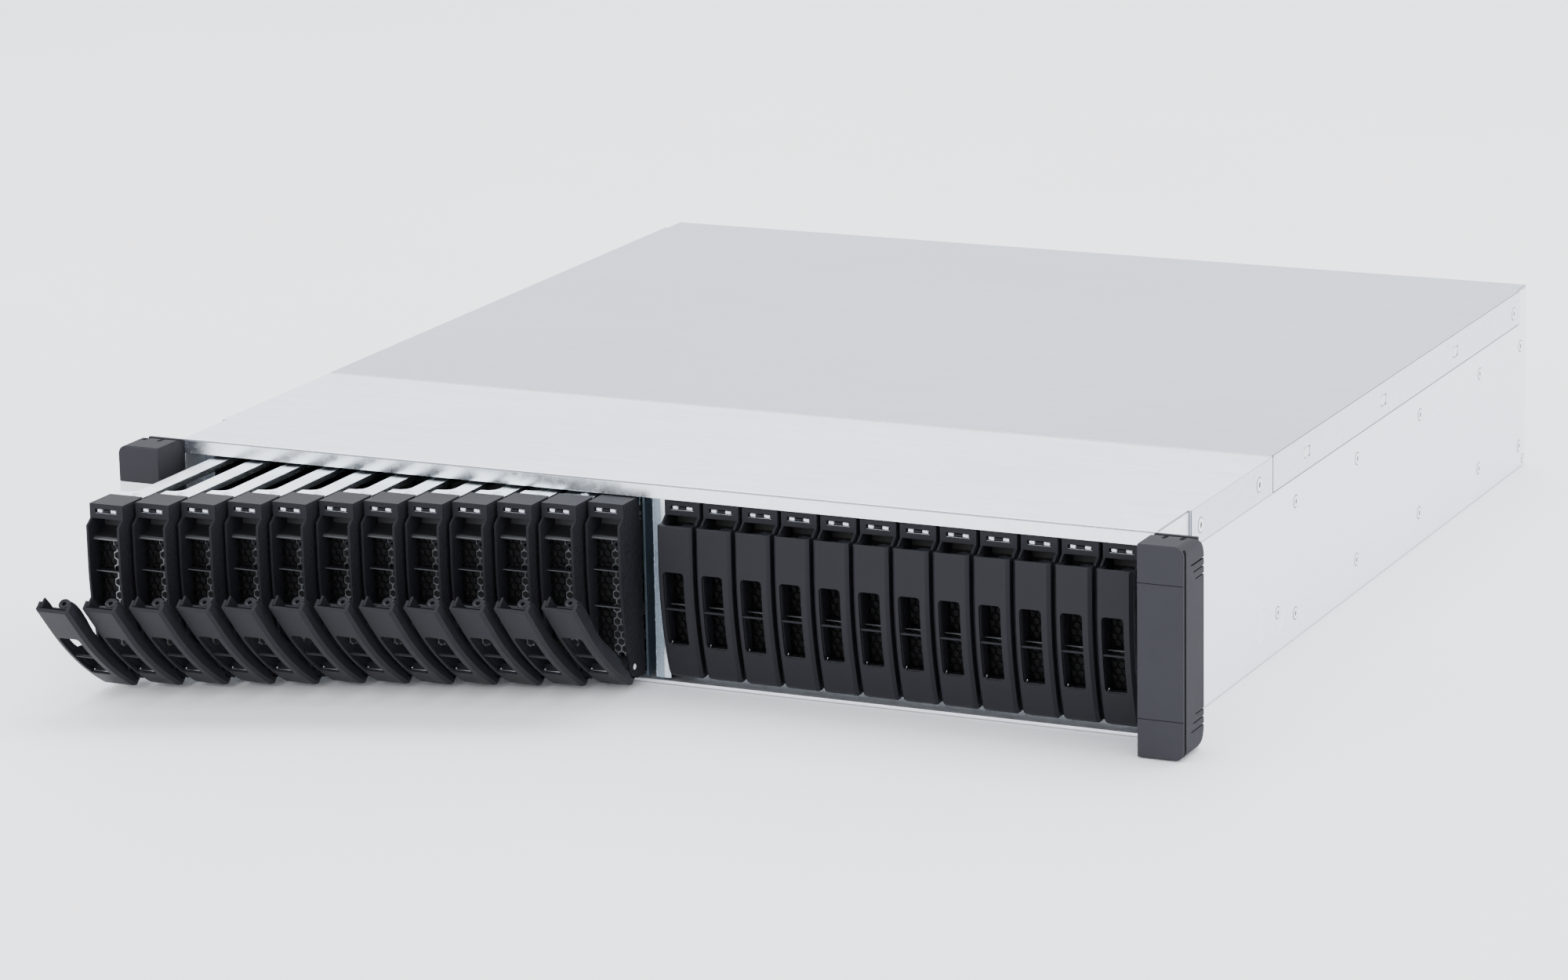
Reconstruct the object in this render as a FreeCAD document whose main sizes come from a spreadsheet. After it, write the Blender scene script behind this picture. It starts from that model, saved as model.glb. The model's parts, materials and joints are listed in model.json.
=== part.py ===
import FreeCAD, Part
import Sketcher
import math
import os

from FreeCAD import Placement, Rotation, Vector

# Two-unit disk shelf enclosure: a steel rack chassis with twenty-four drive carriers side by side.
# Frame: +X to the right seen from the front, +Y to the rear, +Z up.
# The origin lies under the middle of the chassis, in the plane where the ears meet the rack.

doc = FreeCAD.newDocument("DiskShelf")
sheet = doc.addObject("Spreadsheet::Sheet", "Sizes")

# Driving dimensions in millimetres and degrees: alias, value, meaning.
SIZES = (
    ("body_wide", 447.0, "over the cover skirts"),
    ("body_high", 87.0, "floor underside to cover top"),
    ("body_deep", 486.0, "rack plane to rear wall"),
    ("steel", 1.2, "wall sheet"),
    ("floor_sheet", 1.5, "floor sheet"),
    ("cover_sheet", 1.0, "cover sheet"),
    ("floor_front", 2.5, "front edge of the floor"),
    ("cover_front", 2.7, "front cover ahead of the rack plane"),
    ("cover_step", 0.4, "front cover below the rear one"),
    ("cover_seam", 129.5, "joint of the two covers"),
    ("seam_gap", 0.5, "gap in that joint"),
    ("skirt_high", 16.0, "cover skirts"),
    ("skirt_front", 33.6, "front end of the skirts"),
    ("skirt_rear", 472.0, "rear end of the skirts"),
    ("rack_wide", 482.6, "over both ears"),
    ("rack_hole_wide", 465.1, "rack holes, across"),
    ("rack_hole_high", 76.2, "rack holes, up"),
    ("rack_hole_radius", 3.4, "rack holes"),
    ("flange_thick", 2.0, "rack flange"),
    ("ear_deep", 23.0, "ear ahead of the rack plane"),
    ("ear_inner", 222.0, "inner side of an ear"),
    ("ear_skin", 1.8, "moulded wall of an ear"),
    ("ear_round", 9.0, "rear corners seen from the side"),
    ("ear_corner", 3.8, "outer corners seen from the front"),
    ("plate_low", 16.0, "lower joint of the ear's middle plate"),
    ("plate_top", 71.3, "upper joint of the ear's middle plate"),
    ("bay_pitch", 17.54, "tray to tray"),
    ("bay_first", 14.03, "first tray from the centre plane"),
    ("tray_wide", 16.1, "bezel"),
    ("tray_low", 3.7, "bezel underside"),
    ("tray_top", 80.0, "bezel top"),
    ("tray_front", 1.0, "head of the bezel ahead of the rack plane"),
    ("bezel_rear", 15.5, "rear of the bezel"),
    ("tray_rear", 131.0, "rear end of the rails"),
    ("head_low", 73.7, "underside of the bezel head"),
    ("cheek_thick", 1.2, "side cheeks of the bezel"),
    ("cheek_reach", 4.4, "cheeks ahead of the rack plane"),
    ("face_reach", 9.4, "lever face ahead of the rack plane"),
    ("face_straight", 56.0, "height where the lever face starts to curve"),
    ("face_radius", 155.0, "curve of the lever face"),
    ("face_skin", 1.5, "lever walls"),
    ("lever_wide", 15.4, "lever"),
    ("lever_low", 4.6, "lever underside"),
    ("lever_top", 71.2, "lever top edge"),
    ("wing_thick", 0.95, "inner wings of the lever, behind its flanges"),
    ("lever_open", 41.0, "opening angle of the lever, degrees"),
    ("pivot_back", 6.3, "hinge pin behind the rack plane"),
    ("pivot_high", 9.2, "hinge pin height"),
    ("pin_radius", 1.25, "hinge pin"),
    ("pin_play", 0.05, "radial play on the pin"),
    ("hub_radius", 4.2, "cheek corner round the pin"),
    ("step_gap", 0.3, "gap between lever and cheek"),
    ("hub_gap", 0.65, "the same round the hinge"),
    ("window_low", 19.5, "window of the lever"),
    ("window_top", 51.6, "window of the lever"),
    ("window_left", 5.5, "window of the lever, left of its middle"),
    ("window_right", 3.9, "window of the lever, right of its middle"),
    ("bar_low", 35.5, "lower crossbar of the bezel"),
    ("bar_high", 51.0, "upper crossbar of the bezel"),
    ("bar_thick", 0.9, "crossbars"),
    ("cage_rear", 134.0, "rear end of the drive cage"),
    ("module_rear", 488.0, "face of the rear modules"),
    ("module_deep", 330.0, "rear modules, without their handles"),
)

# How far each carrier is drawn out at rest, from the left: the first twelve are stepped, the rest are home.
DRAWN_OUT = (88.4, 81.0, 73.6, 65.7, 59.4, 51.4, 45.1, 39.4, 33.6, 27.4, 21.8, 13.9)
TRAYS = 24

for row, (alias, value, meaning) in enumerate(SIZES, start=1):
    sheet.set("A%d" % row, meaning)
    sheet.set("B%d" % row, str(value))
    sheet.setAlias("B%d" % row, alias)
doc.recompute()


class Dim:
    """A length together with the sheet expression that gives it."""

    def __init__(self, value, text):
        self.value = value
        self.text = text

    def __add__(self, other):
        other = as_dim(other)
        return Dim(self.value + other.value, "(%s + %s)" % (self.text, other.text))

    def __sub__(self, other):
        other = as_dim(other)
        return Dim(self.value - other.value, "(%s - %s)" % (self.text, other.text))

    def __rsub__(self, other):
        return as_dim(other) - self

    def __mul__(self, other):
        other = as_dim(other)
        return Dim(self.value * other.value, "(%s * %s)" % (self.text, other.text))

    def __truediv__(self, other):
        other = as_dim(other)
        return Dim(self.value / other.value, "(%s / %s)" % (self.text, other.text))

    def __neg__(self):
        return Dim(-self.value, "(0 - %s)" % self.text)

    __radd__ = __add__
    __rmul__ = __mul__


def as_dim(value):
    return value if isinstance(value, Dim) else Dim(float(value), "%.6g" % value)


def cell(alias):
    return Dim(float(getattr(sheet, alias)), "Sizes." + alias)


def bind(thing, prop, dim):
    """Set a property from a Dim and keep it bound to the sheet."""
    thing.setExpression(prop, as_dim(dim).text)


# ---------------------------------------------------------------- building helpers

def box(name, x, y, z):
    """A Part::Box from three (low, high) pairs."""
    block = doc.addObject("Part::Box", name)
    for (low, high), length, axis in zip((x, y, z), ("Length", "Width", "Height"), "xyz"):
        bind(block, length, as_dim(high) - low)
        bind(block, "Placement.Base." + axis, low)
    return block


AXES = {
    "x": Rotation(Vector(0, 1, 0), 90),
    "y": Rotation(Vector(1, 0, 0), -90),
    "z": Rotation(),
}


def rod(name, axis, radius, start, length, corner_a, corner_b):
    """A Part::Cylinder along an axis: start along it, then the two other coordinates in order."""
    bar = doc.addObject("Part::Cylinder", name)
    bar.Placement.Rotation = AXES[axis]
    bind(bar, "Radius", radius)
    bind(bar, "Height", length)
    others = [letter for letter in "xyz" if letter != axis]
    for letter, dim in zip([axis] + others, (start, corner_a, corner_b)):
        bind(bar, "Placement.Base." + letter, dim)
    return bar


def cut(name, base, tool):
    result = doc.addObject("Part::Cut", name)
    result.Base = base
    result.Tool = tool
    return result


def fuse(name, pieces):
    result = doc.addObject("Part::MultiFuse", name)
    result.Shapes = pieces
    result.Refine = True
    return result


def group(name, pieces):
    """Several separate solids that share a node."""
    result = doc.addObject("Part::Compound", name)
    result.Links = pieces
    return result


PLANES = {"xy": "XY_Plane", "xz": "XZ_Plane", "yz": "YZ_Plane"}


def new_body(name):
    return doc.addObject("PartDesign::Body", name)


def outline(body, plane, points, offset=0.0):
    """A closed sketch through (u, v) or (u, v, radius) points.

    A radius makes the side that leaves the point an arc: positive bulges to the right of travel.
    """
    sketch = body.newObject("Sketcher::SketchObject", body.Name + "_outline")
    origin_plane = [item for item in body.Origin.OriginFeatures if item.Role == PLANES[plane]][0]
    sketch.AttachmentSupport = [(origin_plane, "")]
    sketch.MapMode = "FlatFace"
    bind(sketch, "AttachmentOffset.Base.z", offset)
    corners = [Vector(as_dim(p[0]).value, as_dim(p[1]).value, 0) for p in points]
    for index, point in enumerate(points):
        start, end = corners[index], corners[(index + 1) % len(points)]
        if len(point) == 3:
            sketch.addGeometry(arc_between(start, end, as_dim(point[2]).value), False)
        else:
            sketch.addGeometry(Part.LineSegment(start, end), False)
    add = sketch.addConstraint
    for index, point in enumerate(points):
        following = (index + 1) % len(points)
        add(Sketcher.Constraint("Coincident", index, end_of(points, index), following,
                                start_of(points, following)))
    for index, point in enumerate(points):
        for kind, dim in (("DistanceX", point[0]), ("DistanceY", point[1])):
            number = add(Sketcher.Constraint(kind, -1, 1, index, start_of(points, index), as_dim(dim).value))
            sketch.setExpression("Constraints[%d]" % number, as_dim(dim).text)
        if len(point) == 3:
            radius = as_dim(point[2])
            size = radius if radius.value > 0 else -radius
            number = add(Sketcher.Constraint("Radius", index, size.value))
            sketch.setExpression("Constraints[%d]" % number, size.text)
    return sketch


def arc_between(start, end, radius):
    """The short arc of a given radius; the sign chooses the side."""
    chord = end - start
    half = chord.Length / 2
    normal = Vector(chord.y, -chord.x, 0).normalize()
    rise = math.sqrt(radius * radius - half * half)
    side = 1 if radius > 0 else -1
    centre = (start + end) * 0.5 - normal * rise * side
    low = math.atan2(start.y - centre.y, start.x - centre.x)
    high = math.atan2(end.y - centre.y, end.x - centre.x)
    if side < 0:
        low, high = high, low
    return Part.ArcOfCircle(Part.Circle(centre, Vector(0, 0, 1), abs(radius)), low, high)


def start_of(points, index):
    """An arc that turns clockwise is stored from its far end."""
    reversed_arc = len(points[index]) == 3 and as_dim(points[index][2]).value < 0
    return 2 if reversed_arc else 1


def end_of(points, index):
    return 3 - start_of(points, index)


def pad(body, sketch, length, centred=False, reversed_way=False):
    feature = body.newObject("PartDesign::Pad", body.Name + "_pad")
    feature.Profile = sketch
    feature.Midplane = centred
    feature.Reversed = reversed_way
    bind(feature, "Length", length)
    return feature


def pocket(body, sketch, length, centred=False, reversed_way=False):
    feature = body.newObject("PartDesign::Pocket", body.Name + "_pocket")
    feature.Profile = sketch
    feature.Midplane = centred
    feature.Reversed = reversed_way
    bind(feature, "Length", length)
    return feature


def rectangle(low_u, high_u, low_v, high_v):
    return [(low_u, low_v), (high_u, low_v), (high_u, high_v), (low_u, high_v)]


# ---------------------------------------------------------------- drive carrier

PIVOT = (cell("pivot_back"), cell("pivot_high"))
SIDE_HALF = cell("tray_wide") / 2
INNER_HALF = SIDE_HALF - cell("cheek_thick")


def face_at(height, behind=0.0):
    """Y of the lever's curved face at a height below its straight part, plus a distance behind it."""
    radius, top, reach = cell("face_radius"), cell("face_straight"), cell("face_reach")
    height = as_dim(height)
    drop = (top - height).value
    value = radius.value - math.sqrt(radius.value ** 2 - drop ** 2) - reach.value
    text = "(%s - sqrt(%s^2 - (%s - %s)^2) - %s)" % (
        radius.text, radius.text, top.text, height.text, reach.text)
    return Dim(value, text) + behind


def on_hub(radius, across=None, up=None):
    """A point on a circle round the pivot, left of or below it, from its offset along one axis."""
    radius = as_dim(radius)
    known = as_dim(up if across is None else across)
    other = Dim(math.sqrt(radius.value ** 2 - known.value ** 2),
                "sqrt(%s^2 - %s^2)" % (radius.text, known.text))
    if across is None:
        return PIVOT[0] - other, PIVOT[1] + known
    return PIVOT[0] + known, PIVOT[1] - other


def bezel():
    """Moulded front of a carrier: head, two cheeks, window frame and hinge pin."""
    body = new_body("bezel")
    front, rear = -cell("tray_front"), cell("bezel_rear")
    behind = cell("face_reach") - cell("cheek_reach")
    hub = cell("hub_radius")
    heel = on_hub(hub, across=2.0)
    side = [
        (rear, cell("tray_low")), (rear, cell("tray_top")), (front, cell("tray_top")),
        (front, cell("head_low")), (-cell("cheek_reach"), cell("lever_top")),
        (-cell("cheek_reach"), cell("face_straight")),
        (face_at(36, behind), 36), (face_at(16, behind), 16),
        on_hub(hub, up=2.6), on_hub(hub, up=-2.0), heel, (heel[0], cell("tray_low")),
    ]
    pad(body, outline(body, "yz", side), cell("tray_wide"), centred=True)

    sill = cell("tray_low") + 1.3
    frame_front = rear - 3.0
    hollow = [
        (-cell("face_reach"), cell("head_low")), (-cell("face_reach"), 0), (heel[0], 0),
        (heel[0], sill), (frame_front, sill), (frame_front, cell("head_low")),
    ]
    pocket(body, outline(body, "yz", hollow), INNER_HALF * 2, centred=True)

    half = cell("bar_thick") / 2
    opening = rectangle(1.4 - INNER_HALF, INNER_HALF - 1.4, sill + 4, cell("head_low") - 6)
    pocket(body, outline(body, "xz", opening, offset=-rear), 6, reversed_way=True)
    for height in (cell("bar_low"), cell("bar_high")):
        bar = rectangle(0.0, frame_front - 1, height - half, height + half)
        pad(body, outline(body, "yz", bar), (INNER_HALF + 0.2) * 2, centred=True)
    lip = [(-0.4, 64.0), (4.5, 65.4), (4.5, 66.3), (-0.4, 65.2)]
    pad(body, outline(body, "yz", lip), (INNER_HALF + 0.2) * 2, centred=True)
    slot = rectangle(-5.3, 5.1, 76.0, 77.9)
    pocket(body, outline(body, "xz", slot, offset=cell("tray_front")), 1.0)
    return body


def hinge_pin():
    """The pin that the lever turns on, pressed into both cheeks; few faces, because it repeats."""
    half = SIDE_HALF - 0.5
    pin = doc.addObject("Part::Prism", "hinge_pin")
    pin.Polygon = 8
    pin.Placement.Rotation = AXES["x"]
    bind(pin, "Circumradius", cell("pin_radius"))
    bind(pin, "Height", half * 2)
    for letter, dim in zip("xyz", (-half, *PIVOT)):
        bind(pin, "Placement.Base." + letter, dim)
    return pin


def rail(name, low, high, lip_end):
    """A channel-section steel rail that holds the drive: a web with two lips that point at the drive."""
    body = new_body(name)
    half, lip = as_dim(7.2), as_dim(0.8)
    near, far = (low, high) if lip_end.value > high.value else (high, low)
    section = [(-half, near), (half, near), (half, lip_end), (half - lip, lip_end),
               (half - lip, far), (lip - half, far), (lip - half, lip_end), (-half, lip_end)]
    start = cell("bezel_rear")
    pad(body, outline(body, "xz", section, offset=-start), cell("tray_rear") - start, reversed_way=True)
    return body


def tray_master():
    shell = fuse("bezel_with_pin", [bezel(), hinge_pin()])
    top, low = cell("tray_top"), cell("tray_low")
    upper = rail("upper_rail", top - 1.6, top - 0.6, top - 3.2)
    lower = rail("lower_rail", low + 0.4, low + 1.4, low + 3.0)
    return group("tray_master", [shell, upper, lower])


def lever_master():
    """Curved pull lever: face, two stepped flanges, window with a crossbar, latch web and hinge hook."""
    body = new_body("lever_master")
    gap = cell("step_gap")
    flange = cell("face_reach") - cell("cheek_reach") - gap
    around = cell("hub_radius") + cell("hub_gap")
    heel = on_hub(around, across=-1.9)
    side = [
        (-cell("face_reach"), cell("lever_top")),
        (-cell("face_reach"), cell("face_straight")), (face_at(36), 36), (face_at(16), 16),
        (face_at(6), 6), (face_at(6, 1.5), cell("lever_low")), (heel[0], cell("lever_low")),
        heel, on_hub(around, up=-1.6), on_hub(around, up=2.6),
        (face_at(16, flange), 16), (face_at(36, flange), 36),
        (flange - cell("face_reach"), cell("face_straight")),
        (flange - cell("face_reach"), cell("lever_top")),
    ]
    pad(body, outline(body, "yz", side), cell("lever_wide"), centred=True)
    wing_half, skin = INNER_HALF - gap, cell("face_skin")
    wings = [(face_at(16, 1), 12), (face_at(36, 1), 36), (face_at(56, 1), 56),
             (face_at(56, 1), cell("lever_top")), (face_at(56, 7.8), cell("lever_top")),
             (face_at(56, 7.8), 61), (face_at(44, 5.6), 44), (face_at(16, 9.0), 12)]
    pad(body, outline(body, "yz", wings), wing_half * 2, centred=True)
    channel = [
        (skin - cell("face_reach"), 90), (skin - cell("face_reach"), cell("face_straight")),
        (face_at(36, skin), 36), (face_at(16, skin), 16), (8, 16), (8, 90),
    ]
    pocket(body, outline(body, "yz", channel), (wing_half - cell("wing_thick")) * 2, centred=True)
    left, right = -cell("window_left"), cell("window_right")
    window = rectangle(left, right, cell("window_low"), cell("window_top"))
    pocket(body, outline(body, "xz", window, offset=12), 15)
    level, half_bar = cell("bar_low"), cell("bar_thick") / 2
    bar = rectangle(face_at(36, 0.4), face_at(36, 1.3), level - half_bar, level + half_bar)
    pad(body, outline(body, "yz", bar, offset=left - 0.2), right - left + 0.4)
    seat = cell("pin_radius") + cell("pin_play")
    back, level = PIVOT
    flat = seat * 0.42
    hook = [(0, 12.5), (back + 2.6, 12.5), (back + 2.6, level + seat), (back - flat, level + seat),
            (back - seat, level + flat), (back - seat, level - flat), (back - flat, level - seat),
            (back + 2.6, level - seat), (back + 1.4, 5.9), (3.0, 5.3)]
    pad(body, outline(body, "yz", hook), (INNER_HALF - gap) * 2, centred=True)
    web = rectangle(face_at(56, 1), face_at(56, 7.6), cell("lever_top") - 1.4, cell("lever_top") - 0.3)
    pad(body, outline(body, "yz", web, offset=0.4), wing_half - 0.6)
    return body


def tray_x(number):
    """Middle of a tray: twelve on each side of the centre post."""
    per_side = TRAYS // 2
    if number > per_side:
        return cell("bay_first").value + cell("bay_pitch").value * (number - per_side - 1)
    return -tray_x(TRAYS + 1 - number)


def instance(name, master, placement):
    """A node that repeats a master shape at its own place."""
    feature = doc.addObject("Part::Feature", name)
    feature.Shape = master.Shape.copy()
    feature.Placement = placement
    return feature


def carriers():
    """The twenty-four drive trays and their levers; the drawn-out ones stand with the lever open."""
    tray, lever = tray_master(), lever_master()
    doc.recompute()
    nodes = []
    pivot = Vector(0, PIVOT[0].value, PIVOT[1].value)
    for number in range(1, TRAYS + 1):
        is_open = number <= len(DRAWN_OUT)
        drawn = DRAWN_OUT[number - 1] if is_open else 0.0
        place = Vector(tray_x(number), -drawn, 0)
        turn = Rotation(Vector(1, 0, 0), cell("lever_open").value if is_open else 0.0)
        nodes.append(instance("drive_tray_%02d" % number, tray, Placement(place, Rotation())))
        turned = Placement(place + pivot - turn.multVec(pivot), turn)
        nodes.append(instance("tray_lever_%02d" % number, lever, turned))
    return nodes


# ---------------------------------------------------------------- chassis sheet metal

WALL_HALF = cell("body_wide") / 2 - cell("cover_sheet") - 0.1
WALL_TOP = cell("body_high") - cell("cover_sheet")
MODULE_LOW = cell("floor_sheet") + 1.0
MODULE_TOP = WALL_TOP - 2.5


def chassis_pan():
    """Folded floor, side walls, rack flanges and rear wall with the module openings."""
    body = new_body("chassis_pan")
    steel, front = cell("steel"), -cell("flange_thick")
    inner = WALL_HALF - steel
    trough = [(-WALL_HALF, 0), (WALL_HALF, 0), (WALL_HALF, WALL_TOP), (inner, WALL_TOP),
              (inner, cell("floor_sheet")), (-inner, cell("floor_sheet")), (-inner, WALL_TOP),
              (-WALL_HALF, WALL_TOP)]
    pad(body, outline(body, "xz", trough, offset=-front), cell("body_deep") - front, reversed_way=True)
    mouth = rectangle(-inner, inner, front, cell("floor_front"))
    pocket(body, outline(body, "xy", mouth, offset=-1), 5, reversed_way=True)
    rear = [(-inner - 0.5, 0.5), (inner + 0.5, 0.5), (inner + 0.5, WALL_TOP), (-inner - 0.5, WALL_TOP)]
    pad(body, outline(body, "xz", rear, offset=steel - cell("body_deep")), steel, reversed_way=True)
    for low, high in MODULE_BAYS:
        opening = rectangle(low, high, MODULE_LOW, MODULE_TOP)
        pocket(body, outline(body, "xz", opening, offset=steel + 1 - cell("body_deep")), steel + 2)
    edge = cell("rack_wide") / 2 - cell("ear_skin") - 0.2
    for side in (-1, 1):
        near, far = inner * side, edge * side
        flange = rectangle(min(near, far, key=value_of), max(near, far, key=value_of), 0, WALL_TOP)
        pad(body, outline(body, "xz", flange), cell("flange_thick"))
        for level in (-1, 1):
            hole_x = cell("rack_hole_wide") / 2 * side
            hole_z = cell("body_high") / 2 + cell("rack_hole_high") / 2 * level
            pocket(body, circle(body, "xz", hole_x, hole_z, cell("rack_hole_radius"), offset=8), 16)
    return body


def value_of(dim):
    return dim.value


def circle(body, plane, across, up, radius, offset=0.0):
    """A sketch of one circle."""
    sketch = body.newObject("Sketcher::SketchObject", body.Name + "_circle")
    origin_plane = [item for item in body.Origin.OriginFeatures if item.Role == PLANES[plane]][0]
    sketch.AttachmentSupport = [(origin_plane, "")]
    sketch.MapMode = "FlatFace"
    bind(sketch, "AttachmentOffset.Base.z", offset)
    across, up, radius = as_dim(across), as_dim(up), as_dim(radius)
    sketch.addGeometry(Part.Circle(Vector(across.value, up.value, 0), Vector(0, 0, 1), radius.value), False)
    sizes = (Sketcher.Constraint("DistanceX", -1, 1, 0, 3, across.value),
             Sketcher.Constraint("DistanceY", -1, 1, 0, 3, up.value),
             Sketcher.Constraint("Radius", 0, radius.value))
    for constraint, dim in zip(sizes, (across, up, radius)):
        number = sketch.addConstraint(constraint)
        sketch.setExpression("Constraints[%d]" % number, dim.text)
    return sketch


# Openings of the rear wall, from the left seen from the front: supply, two stacked modules, supply.
SUPPLY_WIDE, MIDDLE_WIDE, BAY_PLAY = 104.0, 206.0, 0.6
MODULE_BAYS = (
    (-WALL_HALF + 8, -WALL_HALF + (8 + SUPPLY_WIDE)),
    (as_dim(-MIDDLE_WIDE / 2), as_dim(MIDDLE_WIDE / 2)),
    (WALL_HALF - (8 + SUPPLY_WIDE), WALL_HALF - 8),
)


def cover(name, top, start, end, skirt_start, skirt_end):
    """A folded cover: top sheet with a skirt down each side."""
    body = new_body(name)
    half, sheet_half = cell("body_wide") / 2, cell("body_wide") / 2 - cell("cover_sheet")
    under = cell("body_high") - cell("cover_sheet")
    low = cell("body_high") - cell("skirt_high")
    fold = [(-half, low), (-sheet_half, low), (-sheet_half, under), (sheet_half, under),
            (sheet_half, low), (half, low), (half, top), (-half, top)]
    pad(body, outline(body, "xz", fold, offset=-start), end - start, reversed_way=True)
    for side in (-1, 1):
        for low_y, high_y in ((start - 1, skirt_start), (skirt_end, end + 1)):
            if (high_y - low_y).value <= 1.001:
                continue
            near, far = (half - 1.4) * side, (half + 1) * side
            corner = rectangle(min(near, far, key=value_of), max(near, far, key=value_of), low_y, high_y)
            deep = cell("skirt_high") + 10
            pocket(body, outline(body, "xy", corner, offset=low - 5), deep, reversed_way=True)
    return body


def front_cover():
    start = -cell("cover_front")
    end = cell("cover_seam") - cell("seam_gap") / 2
    top = cell("body_high") - cell("cover_step")
    return cover("front_cover", top, start, end, cell("skirt_front"), end)


def rear_cover():
    start = cell("cover_seam") + cell("seam_gap") / 2
    body = cover("rear_cover", cell("body_high"), start, cell("body_deep"), start, cell("skirt_rear"))
    half = cell("body_wide") / 2
    level = cell("body_high") - 8.3
    for along in (172.0, 272.4, 374.0):
        for side in (-1, 1):
            slot = rectangle(along - 3.2, along + 3.2, level - 2.2, level + 2.2)
            pocket(body, outline(body, "yz", slot, offset=(half + 2) * side), 5, reversed_way=side < 0)
    return body


PLATE_DEEP = 1.4


def ear(name, side):
    """Moulded ear over a rack flange, with a separate middle plate in its face."""
    body = new_body(name + "_shell")
    top, front = cell("body_high"), -cell("ear_deep")
    bend, lead = cell("ear_round"), 0.6
    profile = [(front, lead), (front + lead, 0), (-bend, 0, bend), (0, bend), (0, top - bend, bend),
               (-bend, top), (front + lead, top), (front, top - lead)]
    inner, outer = cell("ear_inner"), cell("rack_wide") / 2
    pad(body, outline(body, "yz", profile, offset=inner * side), outer - inner, reversed_way=side < 0)
    skin, corner = cell("ear_skin"), cell("ear_corner")
    for low, high, turn in ((0, corner, -1), (top, top - corner, 1)):
        trim = [((outer - corner) * side, low, -corner * turn * side), (outer * side, high),
                ((outer + 1) * side, high), ((outer + 1) * side, low + turn),
                ((outer - corner) * side, low + turn)]
        pocket(body, outline(body, "xz", trim, offset=cell("ear_deep") + 1), cell("ear_deep") + 2)
    near, far = sorted(((inner + skin / 2) * side, (outer - skin) * side), key=value_of)
    cavity = rectangle(near, far, skin, top - skin)
    pocket(body, outline(body, "xz", cavity, offset=cell("ear_deep") - skin), cell("ear_deep") - skin + 1)
    recess = rectangle(min(inner * side, outer * side, key=value_of) - 1,
                       max(inner * side, outer * side, key=value_of) + 1,
                       cell("plate_low"), cell("plate_top"))
    pocket(body, outline(body, "xz", recess, offset=cell("ear_deep") + 1), 1.0 + PLATE_DEEP)
    near, far = sorted(((inner - 1) * side, (outer - skin) * side), key=value_of)
    relief = rectangle(near, far, -1, top + 1)
    pocket(body, outline(body, "xz", relief, offset=cell("flange_thick")), cell("flange_thick") + 1)
    channel = rectangle(front + PLATE_DEEP, front + 3.4, 3.0, top - 3.0)
    pocket(body, outline(body, "yz", channel, offset=(outer - 1.0) * side), 2, reversed_way=side > 0)
    for level, longest in ((cell("plate_top"), 2), (cell("plate_low") - 6.4, 0)):
        for step in range(3):
            low, start = level + 3.2 * step, -14.4 + 2.5 * abs(step - longest)
            groove = rectangle(start, 1.0, low - 0.35, low + 0.35)
            pocket(body, outline(body, "yz", groove, offset=(outer - 0.5) * side), 2, reversed_way=side > 0)
    gap = 0.15
    plate = box(name + "_plate", sorted((inner * side, outer * side), key=value_of),
                (front, front + PLATE_DEEP), (cell("plate_low") + gap, cell("plate_top") - gap))
    return group(name, [body, plate])


# ---------------------------------------------------------------- drive cage and midplane

def bay_edges():
    """The planes between neighbouring trays and outside the end ones, from the left."""
    half = cell("bay_pitch").value / 2
    edges = []
    for number in range(1, TRAYS + 1):
        edges.append(tray_x(number) - half)
        if number in (TRAYS // 2, TRAYS):
            edges.append(tray_x(number) + half)
    return edges


def drive_cage():
    """Roof with its front brow, base plate, centre post, side posts and the guides between bays."""
    span, rear = WALL_HALF - cell("steel"), cell("cage_rear")
    under = WALL_TOP
    roof_body = new_body("cage_roof")
    brow_front, steel = -2.2, cell("steel")
    section = [(brow_front, 80.4), (brow_front + steel, 80.4), (brow_front + steel, under - steel),
               (rear, under - steel), (rear, under), (brow_front, under)]
    pad(roof_body, outline(roof_body, "yz", section), span * 2, centred=True)
    floor, base_front = cell("floor_sheet"), 14.0
    base = box("cage_base", (-span, span), (base_front, rear), (floor, floor + steel))
    post_body = new_body("centre_post")
    half, nose, back, fold = 5.7, 2.2, 12.0, -1.0
    post = [(-half, nose), (-half + 1, nose), (-half + 1, back), (fold, back), (fold, nose), (half, nose),
            (half, rear), (half - 1, rear), (half - 1, nose + 1), (fold + 1, nose + 1), (fold + 1, back + 1),
            (-half + 1, back + 1), (-half + 1, rear), (-half, rear)]
    low, high = floor + steel, under - steel
    pad(post_body, outline(post_body, "xy", post, offset=low), high - low)
    pieces = [roof_body, base, post_body]
    for side in (-1, 1):
        near, far = sorted(((span - 4.6) * side, span * side), key=value_of)
        pieces.append(box("side_post_%d" % side, (near, far), (base_front, rear), (low, high)))
    thick, start = 0.35, 17.5
    for index, edge in enumerate(bay_edges()):
        if index in (0, TRAYS // 2, TRAYS // 2 + 1, TRAYS + 1):
            continue
        fin = (edge - thick, edge + thick), (start, rear)
        pieces.append(box("guide_%02d" % index, *fin, (low, low + 4.5)))
    return group("drive_cage", pieces)


def midplane_board():
    """Circuit board behind the bays with one drive connector for each tray."""
    rear = cell("cage_rear")
    board = box("board", (-216.0, 216.0), (rear + 3.5, rear + 5.9), (5.0, 82.0))
    plugs = []
    for number in range(1, TRAYS + 1):
        middle = tray_x(number)
        span = (middle - 2.6, middle + 2.6)
        plugs.append(box("plug_%02d" % number, span, (rear, rear + 3.5), (20.0, 62.0)))
    return group("midplane_board", [board] + plugs)


# ---------------------------------------------------------------- rear modules

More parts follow.
